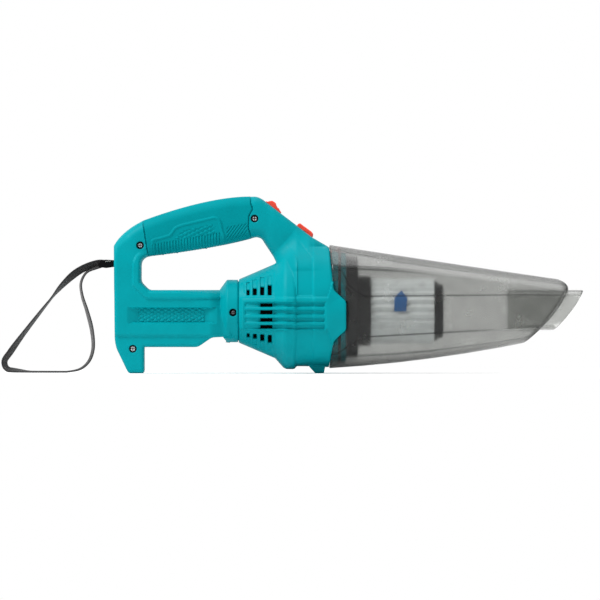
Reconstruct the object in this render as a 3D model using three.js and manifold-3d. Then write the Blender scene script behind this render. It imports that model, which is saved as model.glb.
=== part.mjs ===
// Cordless handheld vacuum: a two-part housing with a loop handle, a slide switch, a latched dust cup with
// a slanted intake tube, a twist-lock pleated filter, a motor with its fan, and a wrist strap.
// Millimetres, +Z up, intake towards +X. The parts are placed from the cup's mouth (x = 0) and the floor
// (z = 0), and the whole group is then moved so that its origin is midway along the vacuum, on the floor.

import * as THREE from "three";
import { mergeVertices } from "three/addons/utils/BufferGeometryUtils.js";
import Module from "manifold-3d";

const wasm = await Module();
wasm.setup();

// ---------------------------------------------------------------- driving dimensions
const GAP = 0.3; // between pieces that touch
const SLIDING = 0.5; // between a piece that slides or turns and what guides it
const wall = 2.5; // housing
const cupWall = 2.2;

const bodyLength = 216; // rear wall to the cup's mouth
const cupLength = 236.4; // mouth to the top of the cup's slanted nose
const nozzleReach = 18.2; // intake tube beyond the nose
const axisHeight = 62; // motor, fan, filter and collar share this axis
const gripTop = 176.3; // highest point of the handle
const gripUnder = 117; // underside of the handle at its rear
const gripHalf = 18; // half width of the handle
const barTop = 83; // floor to the top of the lower bar
const barBottom = 26;
const barHalf = 27; // half width of the lower bar, the rear column and the rear foot
const column = 28.5; // rear column, front to back
const heel = { front: 31.5, toe: 15, rise: 2.5 }; // rear foot, measured from the rear wall

const mouth = { top: 126, bottom: 7, half: 51 };
const nose = { top: 90.5, bottom: 41.2, half: 29 };
const topBow = 1.5; // sag of the cup's top line between mouth and nose
const bottomBow = 20.4;
const squareness = 2.35; // exponent of the cup's superellipse section
const noseLean = new THREE.Vector2(-46.4, -55); // from the top of the slanted face to its foot
const noseBelly = 4.5; // how far that face bows out

const slopeAngle = THREE.MathUtils.degToRad(37.3); // the front slope that carries switch and latch
const slopeLength = 63.6;
const collarRadius = 31;
const collarWidth = 10;
const flareRadius = 47;
const bulgeRadius = 58.2; // widest part of the housing, round the fan
const bandRadius = 55.2; // between the bulge and the mouth
const motorSquash = 0.93; // the motor section is this much narrower than it is high
const tongueWall = cupWall + GAP; // the strip's tongue covers the cup's wall
const stripRise = 2.2; // side strip above the motor section
const tongue = { reach: 17, top: 71.5, bottom: 43.5, rise: 11.5 }; // end of the side strip on the cup

const screw = { head: 2.8, headHeight: 2, shank: 1.5, recess: 3.9, boss: 5.6, past: 9 };
const motor = { radius: 18.5, length: 47, shaft: 1.6, can: 1.5, cap: 6, magnet: 2.6 };
const fan = { radius: 38, depth: 11, blades: 9, eye: 20, hub: 6, plate: 1.6 };
const filter = { base: 33.5, body: 32, end: 26.5, bore: 20, pleats: 26, pleatDepth: 6, length: 63 };
const twist = THREE.MathUtils.degToRad(35); // bayonet turn of the filter
const tube = { height: 40, width: 48, wall: 2, inside: 58, corner: 9, middle: 63 };
const knob = { from: 4, length: 20, half: 6.5, travel: 6, plate: 1.4, nub: 5.5, stem: 2.4 };
const button = { from: 43.6, length: 20, half: 7, rise: 3.8 };
const latch = {
  press: THREE.MathUtils.degToRad(4), half: 4.5, pivotDown: 40, pivotUnder: 8, pin: 1.5, hook: 9,
};
const strap = { width: 10, thick: 1.4, pin: 1.5, height: 109.5 };
const dock = { half: 20, depth: 9, margin: 2 };
const lead = { radius: 1, sides: 6, steps: 18 };
const padDepth = 1.6; // grip pads are let this deep into the handle

const rear = -bodyLength;
const tip = cupLength + nozzleReach;

// ---------------------------------------------------------------- materials
const finish = (color, roughness, metalness = 0, opacity = 1) =>
  new THREE.MeshStandardMaterial({ color, roughness, metalness, opacity, transparent: opacity < 1 });
const TEAL = finish(0x00a3ac, 0.5);
const GRIP = finish(0x009aa4, 0.8);
const RED = finish(0xff5a4a, 0.4);
const SMOKE = finish(0x6c7072, 0.12, 0, 0.5);
const BLACK = finish(0x1b1d1f, 0.6);
const STEEL = finish(0xb9bcc0, 0.3, 1);
const COPPER = finish(0xb87745, 0.35, 1);
const RUBBER = finish(0x141414, 0.85);
const MEDIA = finish(0xe9ecec, 0.9);
const WEBBING = finish(0x2b2a2b, 0.9);
const RED_LEAD = finish(0xc81e1e, 0.45);

// ---------------------------------------------------------------- solids
// A closed three.js geometry as a manifold-3d solid, with its faces pointing out.
function solid(geometry) {
  const bare = new THREE.BufferGeometry();
  const loose = geometry.index ? geometry.toNonIndexed() : geometry;
  bare.setAttribute("position", loose.getAttribute("position"));
  const merged = mergeVertices(bare, 1e-4);
  const p = merged.attributes.position.array;
  const kept = [];
  let volume = 0;
  for (let i = 0; i < merged.index.count; i += 3) {
    const [a, b, c] = merged.index.array.slice(i, i + 3);
    if (a === b || b === c || a === c) continue;
    kept.push(a, b, c);
    const [u, v, w] = [a, b, c].map((k) => new THREE.Vector3(p[3 * k], p[3 * k + 1], p[3 * k + 2]));
    volume += u.dot(v.cross(w));
  }
  const triVerts = new Uint32Array(volume < 0 ? kept.reverse() : kept);
  return new wasm.Manifold(new wasm.Mesh({ numProp: 3, vertProperties: p, triVerts }));
}

const join = (...parts) => parts.reduce((whole, part) => whole.add(part));
const cut = (whole, ...tools) => tools.reduce((left, tool) => left.subtract(tool), whole);
const common = (a, b) => a.intersect(b);
const bothSides = (part) => join(part, part.mirror([0, 1, 0]));

// A manifold-3d solid as a named mesh.
function mesh(name, material, made) {
  const { vertProperties, triVerts } = made.getMesh();
  const geometry = new THREE.BufferGeometry();
  geometry.setAttribute("position", new THREE.BufferAttribute(new Float32Array(vertProperties), 3));
  geometry.setIndex(new THREE.BufferAttribute(new Uint32Array(triVerts), 1));
  const piece = new THREE.Mesh(geometry, material);
  piece.name = name;
  return piece;
}

// An outline in the side view as a shape. A point is [x, z] or [x, z, radius] for a rounded corner.
function outline(points) {
  const shape = new THREE.Shape();
  const at = (i) => points[(i + points.length) % points.length];
  points.forEach(([x, z, radius = 0], i) => {
    const corner = new THREE.Vector2(x, z);
    const start = new THREE.Vector2(...at(i - 1)).sub(corner).setLength(radius).add(corner);
    const end = new THREE.Vector2(...at(i + 1)).sub(corner).setLength(radius).add(corner);
    if (i === 0) shape.moveTo(start.x, start.y);
    else shape.lineTo(start.x, start.y);
    if (radius) shape.quadraticCurveTo(x, z, end.x, end.y);
  });
  shape.closePath();
  return shape;
}

// An outline in the side view made solid from -half to +half across. chamfer takes off its edges, and
// shrink moves the outline inwards.
function plate(shape, half, chamfer = 0, shrink = 0) {
  const geometry = new THREE.ExtrudeGeometry(shape, {
    depth: 2 * (half - chamfer),
    curveSegments: 4,
    bevelEnabled: chamfer + shrink > 0,
    bevelThickness: chamfer,
    bevelSize: chamfer,
    bevelOffset: -chamfer - shrink,
    bevelSegments: 1,
  });
  return solid(geometry.translate(0, 0, chamfer - half).rotateX(Math.PI / 2));
}

function box(x0, x1, y0, y1, z0, z1) {
  const geometry = new THREE.BoxGeometry(x1 - x0, y1 - y0, z1 - z0);
  return solid(geometry.translate((x0 + x1) / 2, (y0 + y1) / 2, (z0 + z1) / 2));
}

// A closed profile of [x, radius] points turned about the motor axis.
function turned(profile, sides = 24, squash = 1) {
  const points = profile.map(([x, radius]) => new THREE.Vector2(radius, x));
  const geometry = new THREE.LatheGeometry([...points, points[0]], sides);
  return solid(geometry.rotateZ(-Math.PI / 2).scale(1, squash, 1).translate(0, 0, axisHeight));
}
const rod = (x0, x1, radius, sides = 20) => turned([[x0, 0], [x0, radius], [x1, radius], [x1, 0]], sides);
const ring = (x0, x1, outer, inner, sides = 24) =>
  turned([[x0, inner], [x0, outer], [x1, outer], [x1, inner]], sides);

// A pin across the vacuum, from y0 to y1.
function crossPin(x, z, radius, y0, y1, sides = 16) {
  const geometry = new THREE.CylinderGeometry(radius, radius, y1 - y0, sides);
  return solid(geometry.translate(x, (y0 + y1) / 2, z));
}

// The same solid turned about the motor axis.
function spun(part, angle) {
  const degrees = THREE.MathUtils.radToDeg(angle);
  return part.translate([0, 0, -axisHeight]).rotate([degrees, 0, 0]).translate([0, 0, axisHeight]);
}

// ---------------------------------------------------------------- form of the cup
// Height of the cup's top and bottom lines and its half width, measured at evenly spaced stations and
// straight between them. Behind the mouth the section stays the same.
const stations = Array.from({ length: 8 }, (_, i) => {
  const t = i / 7;
  const sag = t * (1 - t);
  return {
    x: t * cupLength,
    top: THREE.MathUtils.lerp(mouth.top, nose.top, t) - topBow * sag,
    bottom: THREE.MathUtils.lerp(mouth.bottom, nose.bottom, t) - bottomBow * sag,
    half: THREE.MathUtils.lerp(mouth.half, nose.half, t),
  };
});
function sectionAt(x) {
  if (x <= 0) return stations[0];
  const next = Math.max(1, stations.findIndex((station) => station.x >= x));
  const [a, b] = x < cupLength ? [stations[next - 1], stations[next]] : stations.slice(-2);
  const t = (x - a.x) / (b.x - a.x);
  const between = (key) => THREE.MathUtils.lerp(a[key], b[key], t);
  return { top: between("top"), bottom: between("bottom"), half: between("half") };
}

// The cup's outer form from x0 to x1, moved inwards by inset: a superellipse that follows the stations.
function cupForm(x0, x1, inset = 0, sides = 24) {
  const rings = [x0, ...stations.map((station) => station.x).filter((x) => x > x0 && x < x1), x1];
  const geometry = new THREE.CylinderGeometry(1, 1, 1, sides, rings.length - 1);
  const p = geometry.attributes.position;
  for (let i = 0; i < p.count; i++) {
    const x = rings[Math.round((p.getY(i) + 0.5) * (rings.length - 1))];
    const [u, v] = [p.getX(i), p.getZ(i)];
    const stretch = (Math.abs(u) ** squareness + Math.abs(v) ** squareness || 1) ** (-1 / squareness);
    const { top, bottom, half } = sectionAt(x);
    const height = (top - bottom) / 2 - inset;
    p.setXYZ(i, x, u * stretch * (half - inset), (top + bottom) / 2 + v * stretch * height);
  }
  return solid(geometry);
}

// Everything behind the cup's slanted face, as an outline in the side view; inset moves the face back and
// out moves it forwards along the cup.
function noseOutline(inset = 0, out = 0) {
  const along = noseLean.clone().normalize();
  const inwards = new THREE.Vector2(along.y, -along.x).multiplyScalar(inset);
  const head = new THREE.Vector2(cupLength + out, nose.top - 6.5).add(inwards);
  const foot = head.clone().add(noseLean);
  const bow = head.clone().add(foot).multiplyScalar(0.5);
  bow.add(new THREE.Vector2(-along.y, along.x).multiplyScalar(2 * noseBelly));
  const low = foot.clone().addScaledVector(along, mouth.top);
  const back = -bodyLength;
  const shape = new THREE.Shape();
  shape.moveTo(back, 2 * mouth.top);
  shape.lineTo(back, low.y);
  shape.lineTo(low.x, low.y);
  shape.lineTo(foot.x, foot.y);
  shape.quadraticCurveTo(bow.x, bow.y, head.x, head.y);
  shape.lineTo(head.x - 1.5, head.y + 3.5);
  shape.lineTo(head.x - 8, head.y + 7);
  shape.lineTo(head.x - 8, 2 * mouth.top);
  shape.closePath();
  return shape;
}

// Everything in front of the mouth's edge, which runs forward in a tongue at mid height on each side.
function mouthOutline(forward = 0) {
  const [low, high] = [mouth.bottom - 20, mouth.top + 20];
  const far = 2 * cupLength;
  const edge = tongue.reach + forward;
  const shape = new THREE.Shape();
  shape.moveTo(far, low);
  shape.lineTo(far, high);
  shape.lineTo(forward - 1, high);
  shape.lineTo(forward, mouth.top);
  shape.lineTo(forward + 4.5, tongue.top + tongue.rise);
  shape.lineTo(edge, tongue.top + forward);
  shape.lineTo(edge, tongue.bottom - forward);
  shape.lineTo(forward + 4.5, tongue.bottom - tongue.rise);
  shape.lineTo(forward, mouth.bottom);
  shape.lineTo(forward - 1, low);
  shape.closePath();
  return shape;
}

// ---------------------------------------------------------------- outlines of the housing
const openingRear = rear + column;
const slopeStart = new THREE.Vector2(slopeLength * -Math.cos(slopeAngle) - 16.4, gripTop - 2.5);
const alongSlope = new THREE.Vector2(Math.cos(slopeAngle), -Math.sin(slopeAngle));
const offSlope = new THREE.Vector2(Math.sin(slopeAngle), Math.cos(slopeAngle));
// A point of the slope: distance down it from where it starts, and height above it.
const onSlope = (down, above = 0) =>
  slopeStart.clone().addScaledVector(alongSlope, down).addScaledVector(offSlope, above);
// A block on the slope, between two distances down it and two heights above it.
function slopeBlock(down0, down1, above0, above1, half) {
  const corners = [[down0, above0], [down1, above0], [down1, above1], [down0, above1]];
  return plate(outline(corners.map((corner) => onSlope(...corner).toArray())), half);
}

const bulge = { front: -34.5, rear: -42.5, bandFrom: -31.5 };
const flareEnd = -54;
const collarFront = -92;
const collarRear = collarFront - collarWidth;

// Lower bar, rear column and rear foot, one wide plate.
const barOutline = outline([
  [rear, barBottom + 7],
  [rear + heel.rise, barBottom - 1],
  [rear + heel.toe, 0],
  [rear + heel.front, 0],
  [rear + heel.front, barBottom],
  [collarRear - 29, barBottom],
  [collarRear - 15, axisHeight - 26],
  [collarFront - 5, axisHeight - 26],
  [collarFront - 5, barTop],
  [openingRear + 8, barTop],
  [openingRear, barTop + 8],
  [openingRear, gripUnder - 10],
  [openingRear - 9, gripUnder + 5],
  [rear + 6, gripUnder + 16],
  [rear, gripUnder + 9],
]);

// Grip, rear column and the post that comes down to the motor section, one narrower plate.
function handleOutline() {
  const shoulder = new THREE.Vector2(openingRear + 1, gripTop - 24.3);
  const postTip = new THREE.Vector2(flareEnd + 0.8, axisHeight + flareRadius + 2);
  const shape = new THREE.Shape();
  shape.moveTo(rear, barTop);
  shape.lineTo(rear, gripUnder + 10);
  shape.quadraticCurveTo(rear + 8, shoulder.y - 11, shoulder.x, shoulder.y);
  shape.bezierCurveTo(shoulder.x + 35, shoulder.y + 13.2, slopeStart.x - 43, gripTop,
    slopeStart.x - 13, gripTop);
  shape.lineTo(slopeStart.x - 7, gripTop);
  shape.lineTo(slopeStart.x, slopeStart.y);
  shape.lineTo(...onSlope(slopeLength).toArray());
  shape.lineTo(-1, mouth.top + 0.4);
  shape.lineTo(-1, axisHeight + 20);
  shape.lineTo(flareEnd + 4, axisHeight + 20);
  shape.lineTo(postTip.x, postTip.y);
  shape.lineTo(slopeStart.x, gripTop - 43);
  shape.lineTo(slopeStart.x - 6, gripTop - 40.6);
  shape.quadraticCurveTo(slopeStart.x - 43, gripUnder + 8, openingRear + 8, gripUnder);
  shape.lineTo(openingRear, gripUnder - 10);
  shape.lineTo(openingRear, barTop + 8);
  shape.lineTo(openingRear + 8, barTop);
  shape.closePath();
  return shape;
}

// Collar, flare, bulge and band, turned about the motor axis. grow moves the surface out.
function motorForm(grow = 0) {
  const profile = [
    [collarRear - 7, 22],
    [collarRear, collarRadius],
    [collarFront, collarRadius],
    [flareEnd, flareRadius],
    [bulge.rear - 2, bulgeRadius - 2],
    [bulge.rear, bulgeRadius],
    [bulge.front, bulgeRadius],
    [bulge.bandFrom, bandRadius],
    [-1, bandRadius],
  ].map(([x, radius]) => [x, radius + grow]);
  return turned([[collarRear - 7, 0], ...profile, [-1, 0]], 28, motorSquash);
}

const frontFoot = { from: -13.5, to: -5, half: 14, lean: 5 };
const frontFootOutline = outline([
  [frontFoot.from - frontFoot.lean, mouth.bottom + 8],
  [frontFoot.from - frontFoot.lean, mouth.bottom - 1],
  [frontFoot.from, 0],
  [frontFoot.to, 0],
  [frontFoot.to + 1, mouth.bottom],
  [frontFoot.to + 1, mouth.bottom + 8],
]);

const stripOutline = outline([
  [collarFront + 6, tongue.bottom],
  [flareEnd, tongue.bottom - 2],
  [0, tongue.bottom - tongue.rise],
  [tongue.reach, tongue.bottom - 2],
  [tongue.reach, tongue.top + 2],
  [0, tongue.top + tongue.rise],
  [flareEnd, tongue.top + 2],
  [collarFront + 6, tongue.top],
]);

// The housing's outside, whole, before it is hollowed.
function housingForm() {
  const strip = join(common(motorForm(stripRise), box(rear, 0, -barHalf * 3, barHalf * 3, 0, gripTop)),
    cupForm(bulge.bandFrom, 2 * tongue.reach, -stripRise));
  return join(
    plate(barOutline, barHalf, 3),
    plate(handleOutline(), gripHalf, 4),
    motorForm(),
    cupForm(bulge.bandFrom, 2 * tongue.reach),
    common(strip, plate(stripOutline, 2 * barHalf + 10)),
    plate(frontFootOutline, frontFoot.half, 1),
  );
}

function housingHollow() {
  return join(
    plate(barOutline, barHalf - wall, 1, wall),
    plate(handleOutline(), gripHalf - wall - padDepth, 2, wall),
    motorForm(-wall),
    cupForm(bulge.bandFrom + wall, GAP, wall),
    cupForm(0, 3 * tongue.reach, tongueWall),
  );
}

// ---------------------------------------------------------------- screws
// Place in the side view, half width of the housing there, and how far under that the head rests.
const screwPlaces = [
  { x: openingRear - 1.2, z: gripUnder + 10.6, half: gripHalf, under: 4.5 },
  { x: slopeStart.x - 7.4, z: gripTop - 22, half: gripHalf, under: 4.5 },
  { x: (collarFront + collarRear) / 2 + 1.2, z: axisHeight - 1.5, half: collarRadius * motorSquash,
    under: 9 },
  { x: rear + heel.front - 11.3, z: barBottom - 1.7, half: barHalf, under: 5 },
];
const seatOf = ({ half, under }) => under - half;
const screwBoss = (place) => crossPin(place.x, place.z, screw.boss, -place.half + 1, place.half - 1);
const screwHole = (place) =>
  join(crossPin(place.x, place.z, screw.recess, -2 * place.half, seatOf(place)),
    crossPin(place.x, place.z, screw.shank + GAP, seatOf(place) - 1, screw.past + 1));
const housingScrew = (place) =>
  join(crossPin(place.x, place.z, screw.head, seatOf(place) - GAP - screw.headHeight, seatOf(place) - GAP),
    crossPin(place.x, place.z, screw.shank, seatOf(place) - GAP - 1, screw.past));

// ---------------------------------------------------------------- vents
// Slots through the flare above and below the side strip, and level slots through the strip.
function vents() {
  const pitch = 7.1;
  const slots = [];
  for (let i = 0; i < 4; i++) {
    const x = collarFront + 10 + i * pitch;
    slots.push(box(x, x + 3.2, 12, 70, axisHeight + 16, axisHeight + 21.5 + 1.6 * i));
    slots.push(box(x, x + 3.2, 12, 70, axisHeight - 26.5 - 1.8 * i, axisHeight - 23));
    const z = axisHeight + 5.9 - i * 7.4;
    slots.push(box(flareEnd - 14.5, flareEnd - 2.5, 24, 70, z - 3.5, z));
  }
  return bothSides(join(...slots));
}

// ---------------------------------------------------------------- strap, switch and latch, battery dock
const strapPinX = rear + wall + 3.5;
const strapSlot = box(rear - 1, rear + wall + 1.5, -strap.width / 2 - 1, strap.width / 2 + 1,
  strap.height - 3.5, strap.height + 3.5);
const strapPinHalf = 12;
const strapPinSeat = cut(
  crossPin(strapPinX, strap.height, strap.pin + 3, -strapPinHalf - 3, strapPinHalf + 3),
  box(rear, strapPinX + 10, -strap.width / 2 - 2, strap.width / 2 + 2, 0, gripTop));
const strapPinHole = crossPin(strapPinX, strap.height, strap.pin + GAP,
  -strapPinHalf - GAP, strapPinHalf + GAP);

const knobEnd = knob.from + knob.length;
const stemFrom = knob.from + 10;
const stemTo = stemFrom + 4;
const switchDeck = 5.2; // the housing is this thick under the knob
const knobRecess = slopeBlock(knob.from - SLIDING, knobEnd + knob.travel + SLIDING, -knob.plate - SLIDING, 9,
  knob.half + SLIDING);
const stemSlot = slopeBlock(stemFrom - SLIDING, stemTo + knob.travel + SLIDING, -2 * switchDeck, 1,
  knob.stem + SLIDING);
const deckUnderKnob = slopeBlock(knob.from - 3, knobEnd + knob.travel + 3, -switchDeck, -1, gripHalf - 1);

const latchPivot = onSlope(latch.pivotDown, -latch.pivotUnder);
const buttonEnd = button.from + button.length;
const buttonHole = slopeBlock(button.from - SLIDING, buttonEnd + 1, -12, 12, button.half + SLIDING);
const latchPinHalf = 12;
const latchPinSeat = cut(
  crossPin(latchPivot.x, latchPivot.y, latch.pin + 3, -gripHalf + 1, gripHalf - 1),
  box(rear, tip, -button.half - SLIDING, button.half + SLIDING, 0, gripTop));
const latchPinHole =
  crossPin(latchPivot.x, latchPivot.y, latch.pin + GAP, -latchPinHalf - GAP, latchPinHalf + GAP);
const tongueTop = mouth.top - cupWall - wall - 1.3; // top of the lever's flat front part
const tongueUnder = tongueTop - 3;
const troughFloor = tongueUnder - latch.hook * Math.sin(latch.press) - 4;
const springAt = onSlope(button.from + 3, -8);
const spring = { radius: 3.2, wire: 0.5, turns: 4, seat: troughFloor + 8, length: 11 };
const springTop = spring.seat + spring.length;
const springShelf = box(springAt.x - 5.5, springAt.x + 5.5, -gripHalf + 1, gripHalf - 1,
  spring.seat - GAP - 2.5, spring.seat - GAP);

const dockFrom = rear + heel.front + dock.margin;
const dockTo = collarRear - 29 - dock.margin;
const dockTop = barBottom + dock.depth;
const dockShell = box(dockFrom - wall, dockTo + wall, -dock.half - wall, dock.half + wall,
  barBottom, dockTop + wall);
const dockSpace = box(dockFrom, dockTo, -dock.half, dock.half, barBottom - 1, dockTop);
const terminal = { from: dockFrom + 18, to: dockFrom + 42, half: 12, height: 12 };
const terminalWindow =
  box(terminal.from, terminal.to, -terminal.half, terminal.half, dockTop - 1, dockTop + wall + 1);

// ---------------------------------------------------------------- motor's place
const mount = { thick: 3, holes: 6 }; // plate that carries the motor and closes the fan chamber from behind
const mountRear = bulge.bandFrom + wall + GAP;
const mountFront = mountRear + mount.thick;
const canFront = mountRear - GAP;
const canRear = canFront - motor.length;
const capRear = canRear - GAP - motor.cap;

// ---------------------------------------------------------------- housing
const damper = { from: canRear + 0.6, width: 3, thick: 5 };
const damperOuter = motor.radius + damper.thick;
// Ring inside the flare that holds the motor's rubber ring, with notches for the leads.
const motorRib = cut(
  common(ring(damper.from - 1, damper.from + damper.width + 1, flareRadius, damperOuter + GAP),
    motorForm(-1)),
  bothSides(box(rear, 0, 5, 18, axisHeight + 14, gripTop)));

// Rubber-feel grip pads let into both sides of the handle.
const padInset = 4.2;
function padOutline(grow) {
  const shoulder = new THREE.Vector2(openingRear + 6, gripTop - 26);
  return outline([
    [openingRear + 8 - grow, gripUnder + padInset - grow, 3],
    [slopeStart.x - 20, gripTop - 44 + padInset - grow, 3],
    [slopeStart.x - 14 + grow, gripTop - padInset - 1 + grow, 3],
    [slopeStart.x - 40, gripTop - padInset - 3.2 + grow],
    [shoulder.x + 22, shoulder.y + 3.6 + grow],
    [shoulder.x - 3 - grow, shoulder.y - 4 + grow, 3],
  ]);
}
function gripPad(side) {
  const pad = common(plate(padOutline(0), gripHalf + 0.4), box(rear, 0, gripHalf - padDepth, 60, 0, gripTop));
  return side < 0 ? pad.mirror([0, 1, 0]) : pad;
}
const padRecess = bothSides(
  common(plate(padOutline(GAP), gripHalf + 5), box(rear, 0, gripHalf - padDepth - GAP, 60, 0, gripTop)));

function housing() {
  const inside = join(motorRib, strapPinSeat, latchPinSeat, deckUnderKnob, springShelf, dockShell,
    ...screwPlaces.map(screwBoss));
  const form = housingForm();
  const walls = join(cut(form, housingHollow()), common(inside, form));
  return cut(walls, plate(mouthOutline(), 3 * barHalf), vents(), padRecess, strapSlot, strapPinHole,
    knobRecess, stemSlot, buttonHole, latchPinHole, dockSpace, terminalWindow, ...screwPlaces.map(screwHole));
}

const whole = housing();
const sideOf = (side) => common(whole, box(rear - 1, tip, Math.min(side * 0.5 * GAP, side * 90),
  Math.max(side * 0.5 * GAP, side * 90), -1, gripTop + 1));

// ---------------------------------------------------------------- motor and fan
const bushLength = 4;
function motorCan() {
  const body = ring(canRear, canFront, motor.radius, motor.radius - motor.can);
  const end = ring(canFront - motor.can, canFront, motor.radius - 0.5, motor.shaft + 2 + GAP, 24);
  return join(body, end);
}
const tabLength = 4.5;
function motorEndCap() {
  const cap = ring(capRear, canRear - GAP, motor.radius - 0.5, motor.shaft + 2 + GAP, 24);
  const tabs = bothSides(box(capRear - tabLength, capRear + 1, 8, 12, axisHeight - 0.4, axisHeight + 0.4));
  return join(cap, tabs);
}
function motorMagnet(side) {
  const outer = motor.radius - motor.can - GAP;
  const arc = ring(canRear + 6, canFront - 5, outer, outer - motor.magnet);
  const half = common(arc, box(rear, 0, 5, 60, 0, gripTop));
  return side < 0 ? half.mirror([0, 1, 0]) : half;
}
const motorBush = (x) => ring(x, x + bushLength, motor.shaft + 2, motor.shaft + GAP, 16);
const armatureRadius = motor.radius - motor.can - motor.magnet - 1.2;
function armature() {
  const core = ring(canRear + 12, canFront - 10, armatureRadius, motor.shaft + GAP, 20);
  const slots = Array.from({ length: 5 }, (_, i) =>
    spun(box(canRear, canFront, -0.9, 0.9, axisHeight + armatureRadius - 2.5,
      axisHeight + armatureRadius + 2), (i * 2 * Math.PI) / 5));
  return cut(core, ...slots);
}
const commutator = () => ring(canRear + 4, canRear + 11, 5, motor.shaft + GAP, 16);

const mountHole = { radius: 4.5, height: axisHeight + (motor.radius + fan.radius) / 2 + 2 };
const latchTravel = 2.5; // how far the lever's middle goes down when pressed
// Plate that holds the motor's front, with air holes round it and a notch that the latch lever dips into.
function motorMount() {
  const hole = solid(new THREE.CylinderGeometry(mountHole.radius, mountHole.radius, mount.thick + 2, 12)
    .rotateZ(Math.PI / 2).translate((mountRear + mountFront) / 2, 0, mountHole.height));
  const holes = Array.from({ length: mount.holes }, (_, i) => spun(hole, (i * 2 * Math.PI) / mount.holes));
  const notch = box(mountRear - 1, mountFront + 1, -latch.half - 1, latch.half + 1,
    tongueUnder - latchTravel, gripTop);
  return cut(cupForm(mountRear, mountFront, wall + GAP), rod(mountRear - 1, mountFront + 1, motor.shaft + 3),
    notch, ...holes);
}

const fanRear = mountFront + 2.2;
const fanFront = fanRear + fan.depth;
function impeller() {
  const disc = ring(fanRear, fanRear + fan.plate, fan.radius, motor.shaft + GAP, 24);
  const hub = ring(fanRear, fanFront - 3, fan.hub, motor.shaft + GAP, 20);
  const blades = Array.from({ length: fan.blades }, (_, i) => {
    const bladeForm = box(fanRear + 0.5, fanFront, -0.7, 0.7, 0, fan.radius - fan.hub - 4)
      .rotate([38, 0, 0])
      .translate([0, 0, axisHeight + fan.hub + 3]);
    return spun(bladeForm, (i * 2 * Math.PI) / fan.blades);
  });
  return common(join(disc, hub, ...blades), rod(fanRear, fanFront, fan.radius, 24));
}
const shaftRear = capRear + 1;
const nutFrom = fanFront - 3 + GAP;
const shaftFront = nutFrom + 4;

// ---------------------------------------------------------------- spigot that the cup slides onto
// Its rear part fits in the housing and its front part in the cup and between the tongues.
const spigotInset = tongueWall + GAP;
const spigotWall = 2.4;
const spigotRear = fanFront + 1.6;
const spigotFront = tongue.reach;
const trough = { half: latch.half + 2, wall: 2 };
function cupSpigot() {
  const skin = cut(join(cupForm(spigotRear, 2 * GAP, wall + GAP), cupForm(GAP, spigotFront, spigotInset)),
    cupForm(spigotRear + spigotWall, spigotFront + 1, Math.max(wall + GAP, spigotInset) + spigotWall));
  const bedHalf = trough.half + trough.wall;
  const bed = common(box(spigotRear, spigotFront, -bedHalf, bedHalf, troughFloor - 2, gripTop),
    cupForm(spigotRear, spigotFront, Math.max(wall + GAP, spigotInset)));
  const channel = box(spigotRear - 1, spigotFront - 2, -trough.half, trough.half, troughFloor, gripTop);
  return cut(join(skin, bed), channel, rod(spigotRear - 1, spigotFront, fan.eye));
}
const seal = { from: 9, width: 3, depth: 1.2 };
// The rubber ring lies in a groove round the spigot, cut away where the latch's trough is.
function cupSeal() {
  const band = cut(cupForm(seal.from, seal.from + seal.width, spigotInset - GAP / 3),
    cupForm(seal.from - 1, seal.from + seal.width + 1, spigotInset + seal.depth));
  return cut(band, box(0, tip, -trough.half - GAP, trough.half + GAP, axisHeight, gripTop));
}
const sealGroove = () =>
  cut(cut(cupForm(seal.from - GAP, seal.from + seal.width + GAP, spigotInset - 1),
    cupForm(seal.from - 1, seal.from + seal.width + 1, spigotInset + seal.depth + GAP)),
  box(0, tip, -trough.half, trough.half, axisHeight, gripTop));

// ---------------------------------------------------------------- dust cup and intake tube
const cupRear = GAP;
function tubeForm(x0, x1, inset) {
  const [half, height] = [tube.width / 2 - inset, tube.height / 2 - inset];
  const corner = tube.corner - inset;
  const shape = outline([[-half, -height, corner], [half, -height, corner], [half, height, corner],
    [-half, height, corner]]);
  const geometry = new THREE.ExtrudeGeometry(shape, { depth: x1 - x0, curveSegments: 5, bevelEnabled: false });
  return solid(geometry.rotateX(Math.PI / 2).rotateZ(Math.PI / 2).translate(x0, 0, tube.middle));
}
const hookWindow = box(latch.hook - 5, latch.hook + 4, -latch.half - 1, latch.half + 1,
  mouth.top - 14, mouth.top + 2);
function dustCup() {
  const outside = common(cupForm(cupRear, cupLength + 4), plate(noseOutline(), 90));
  const inside = common(cupForm(-1, cupLength + 4, cupWall), plate(noseOutline(cupWall), 90));
  const shell = common(cut(outside, inside), plate(mouthOutline(GAP), 90));
  return cut(shell, tubeForm(0, 2 * tip, -GAP), hookWindow);
}
function intakeNozzle() {
  const from = cupLength - tube.inside;
  const full = cut(tubeForm(from, tip + 1, 0), tubeForm(from - 1, tip + 2, tube.wall));
  return common(full, plate(noseOutline(0, nozzleReach), 90));
}

// ---------------------------------------------------------------- filter
const holderFrom = spigotFront + GAP;
const holder = { width: 11.5, inset: 6.5, shoulder: 3, sleeve: 9 };
const holderTo = holderFrom + holder.width;
const groove = { from: holderFrom + holder.shoulder + 0.6, width: 3 };
const lugRise = 1.8;
const lugHalf = 5;
function filterHolder() {
  const disc = cupForm(holderFrom, holderTo, holder.inset);
  const sleeve = common(ring(holderFrom - holder.sleeve, holderFrom + 1, filter.bore + 6, filter.bore + 3),
    box(0, tip, -90, 90, 0, gripTop));
  const entry = (angle) => spun(box(groove.from, holderTo + 1, -lugHalf - 1, lugHalf + 1, axisHeight,
    axisHeight + filter.base + lugRise + 1), angle);
  return cut(join(disc, sleeve),
    rod(holderFrom - 20, holderTo + 1, filter.bore + 3, 24),
    rod(holderFrom + holder.shoulder, holderTo + 1, filter.base + SLIDING, 24),
    rod(groove.from, groove.from + groove.width, filter.base + lugRise + 1, 24),
    entry(twist), entry(twist + Math.PI));
}
const baseFrom = holderFrom + holder.shoulder + GAP;
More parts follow.
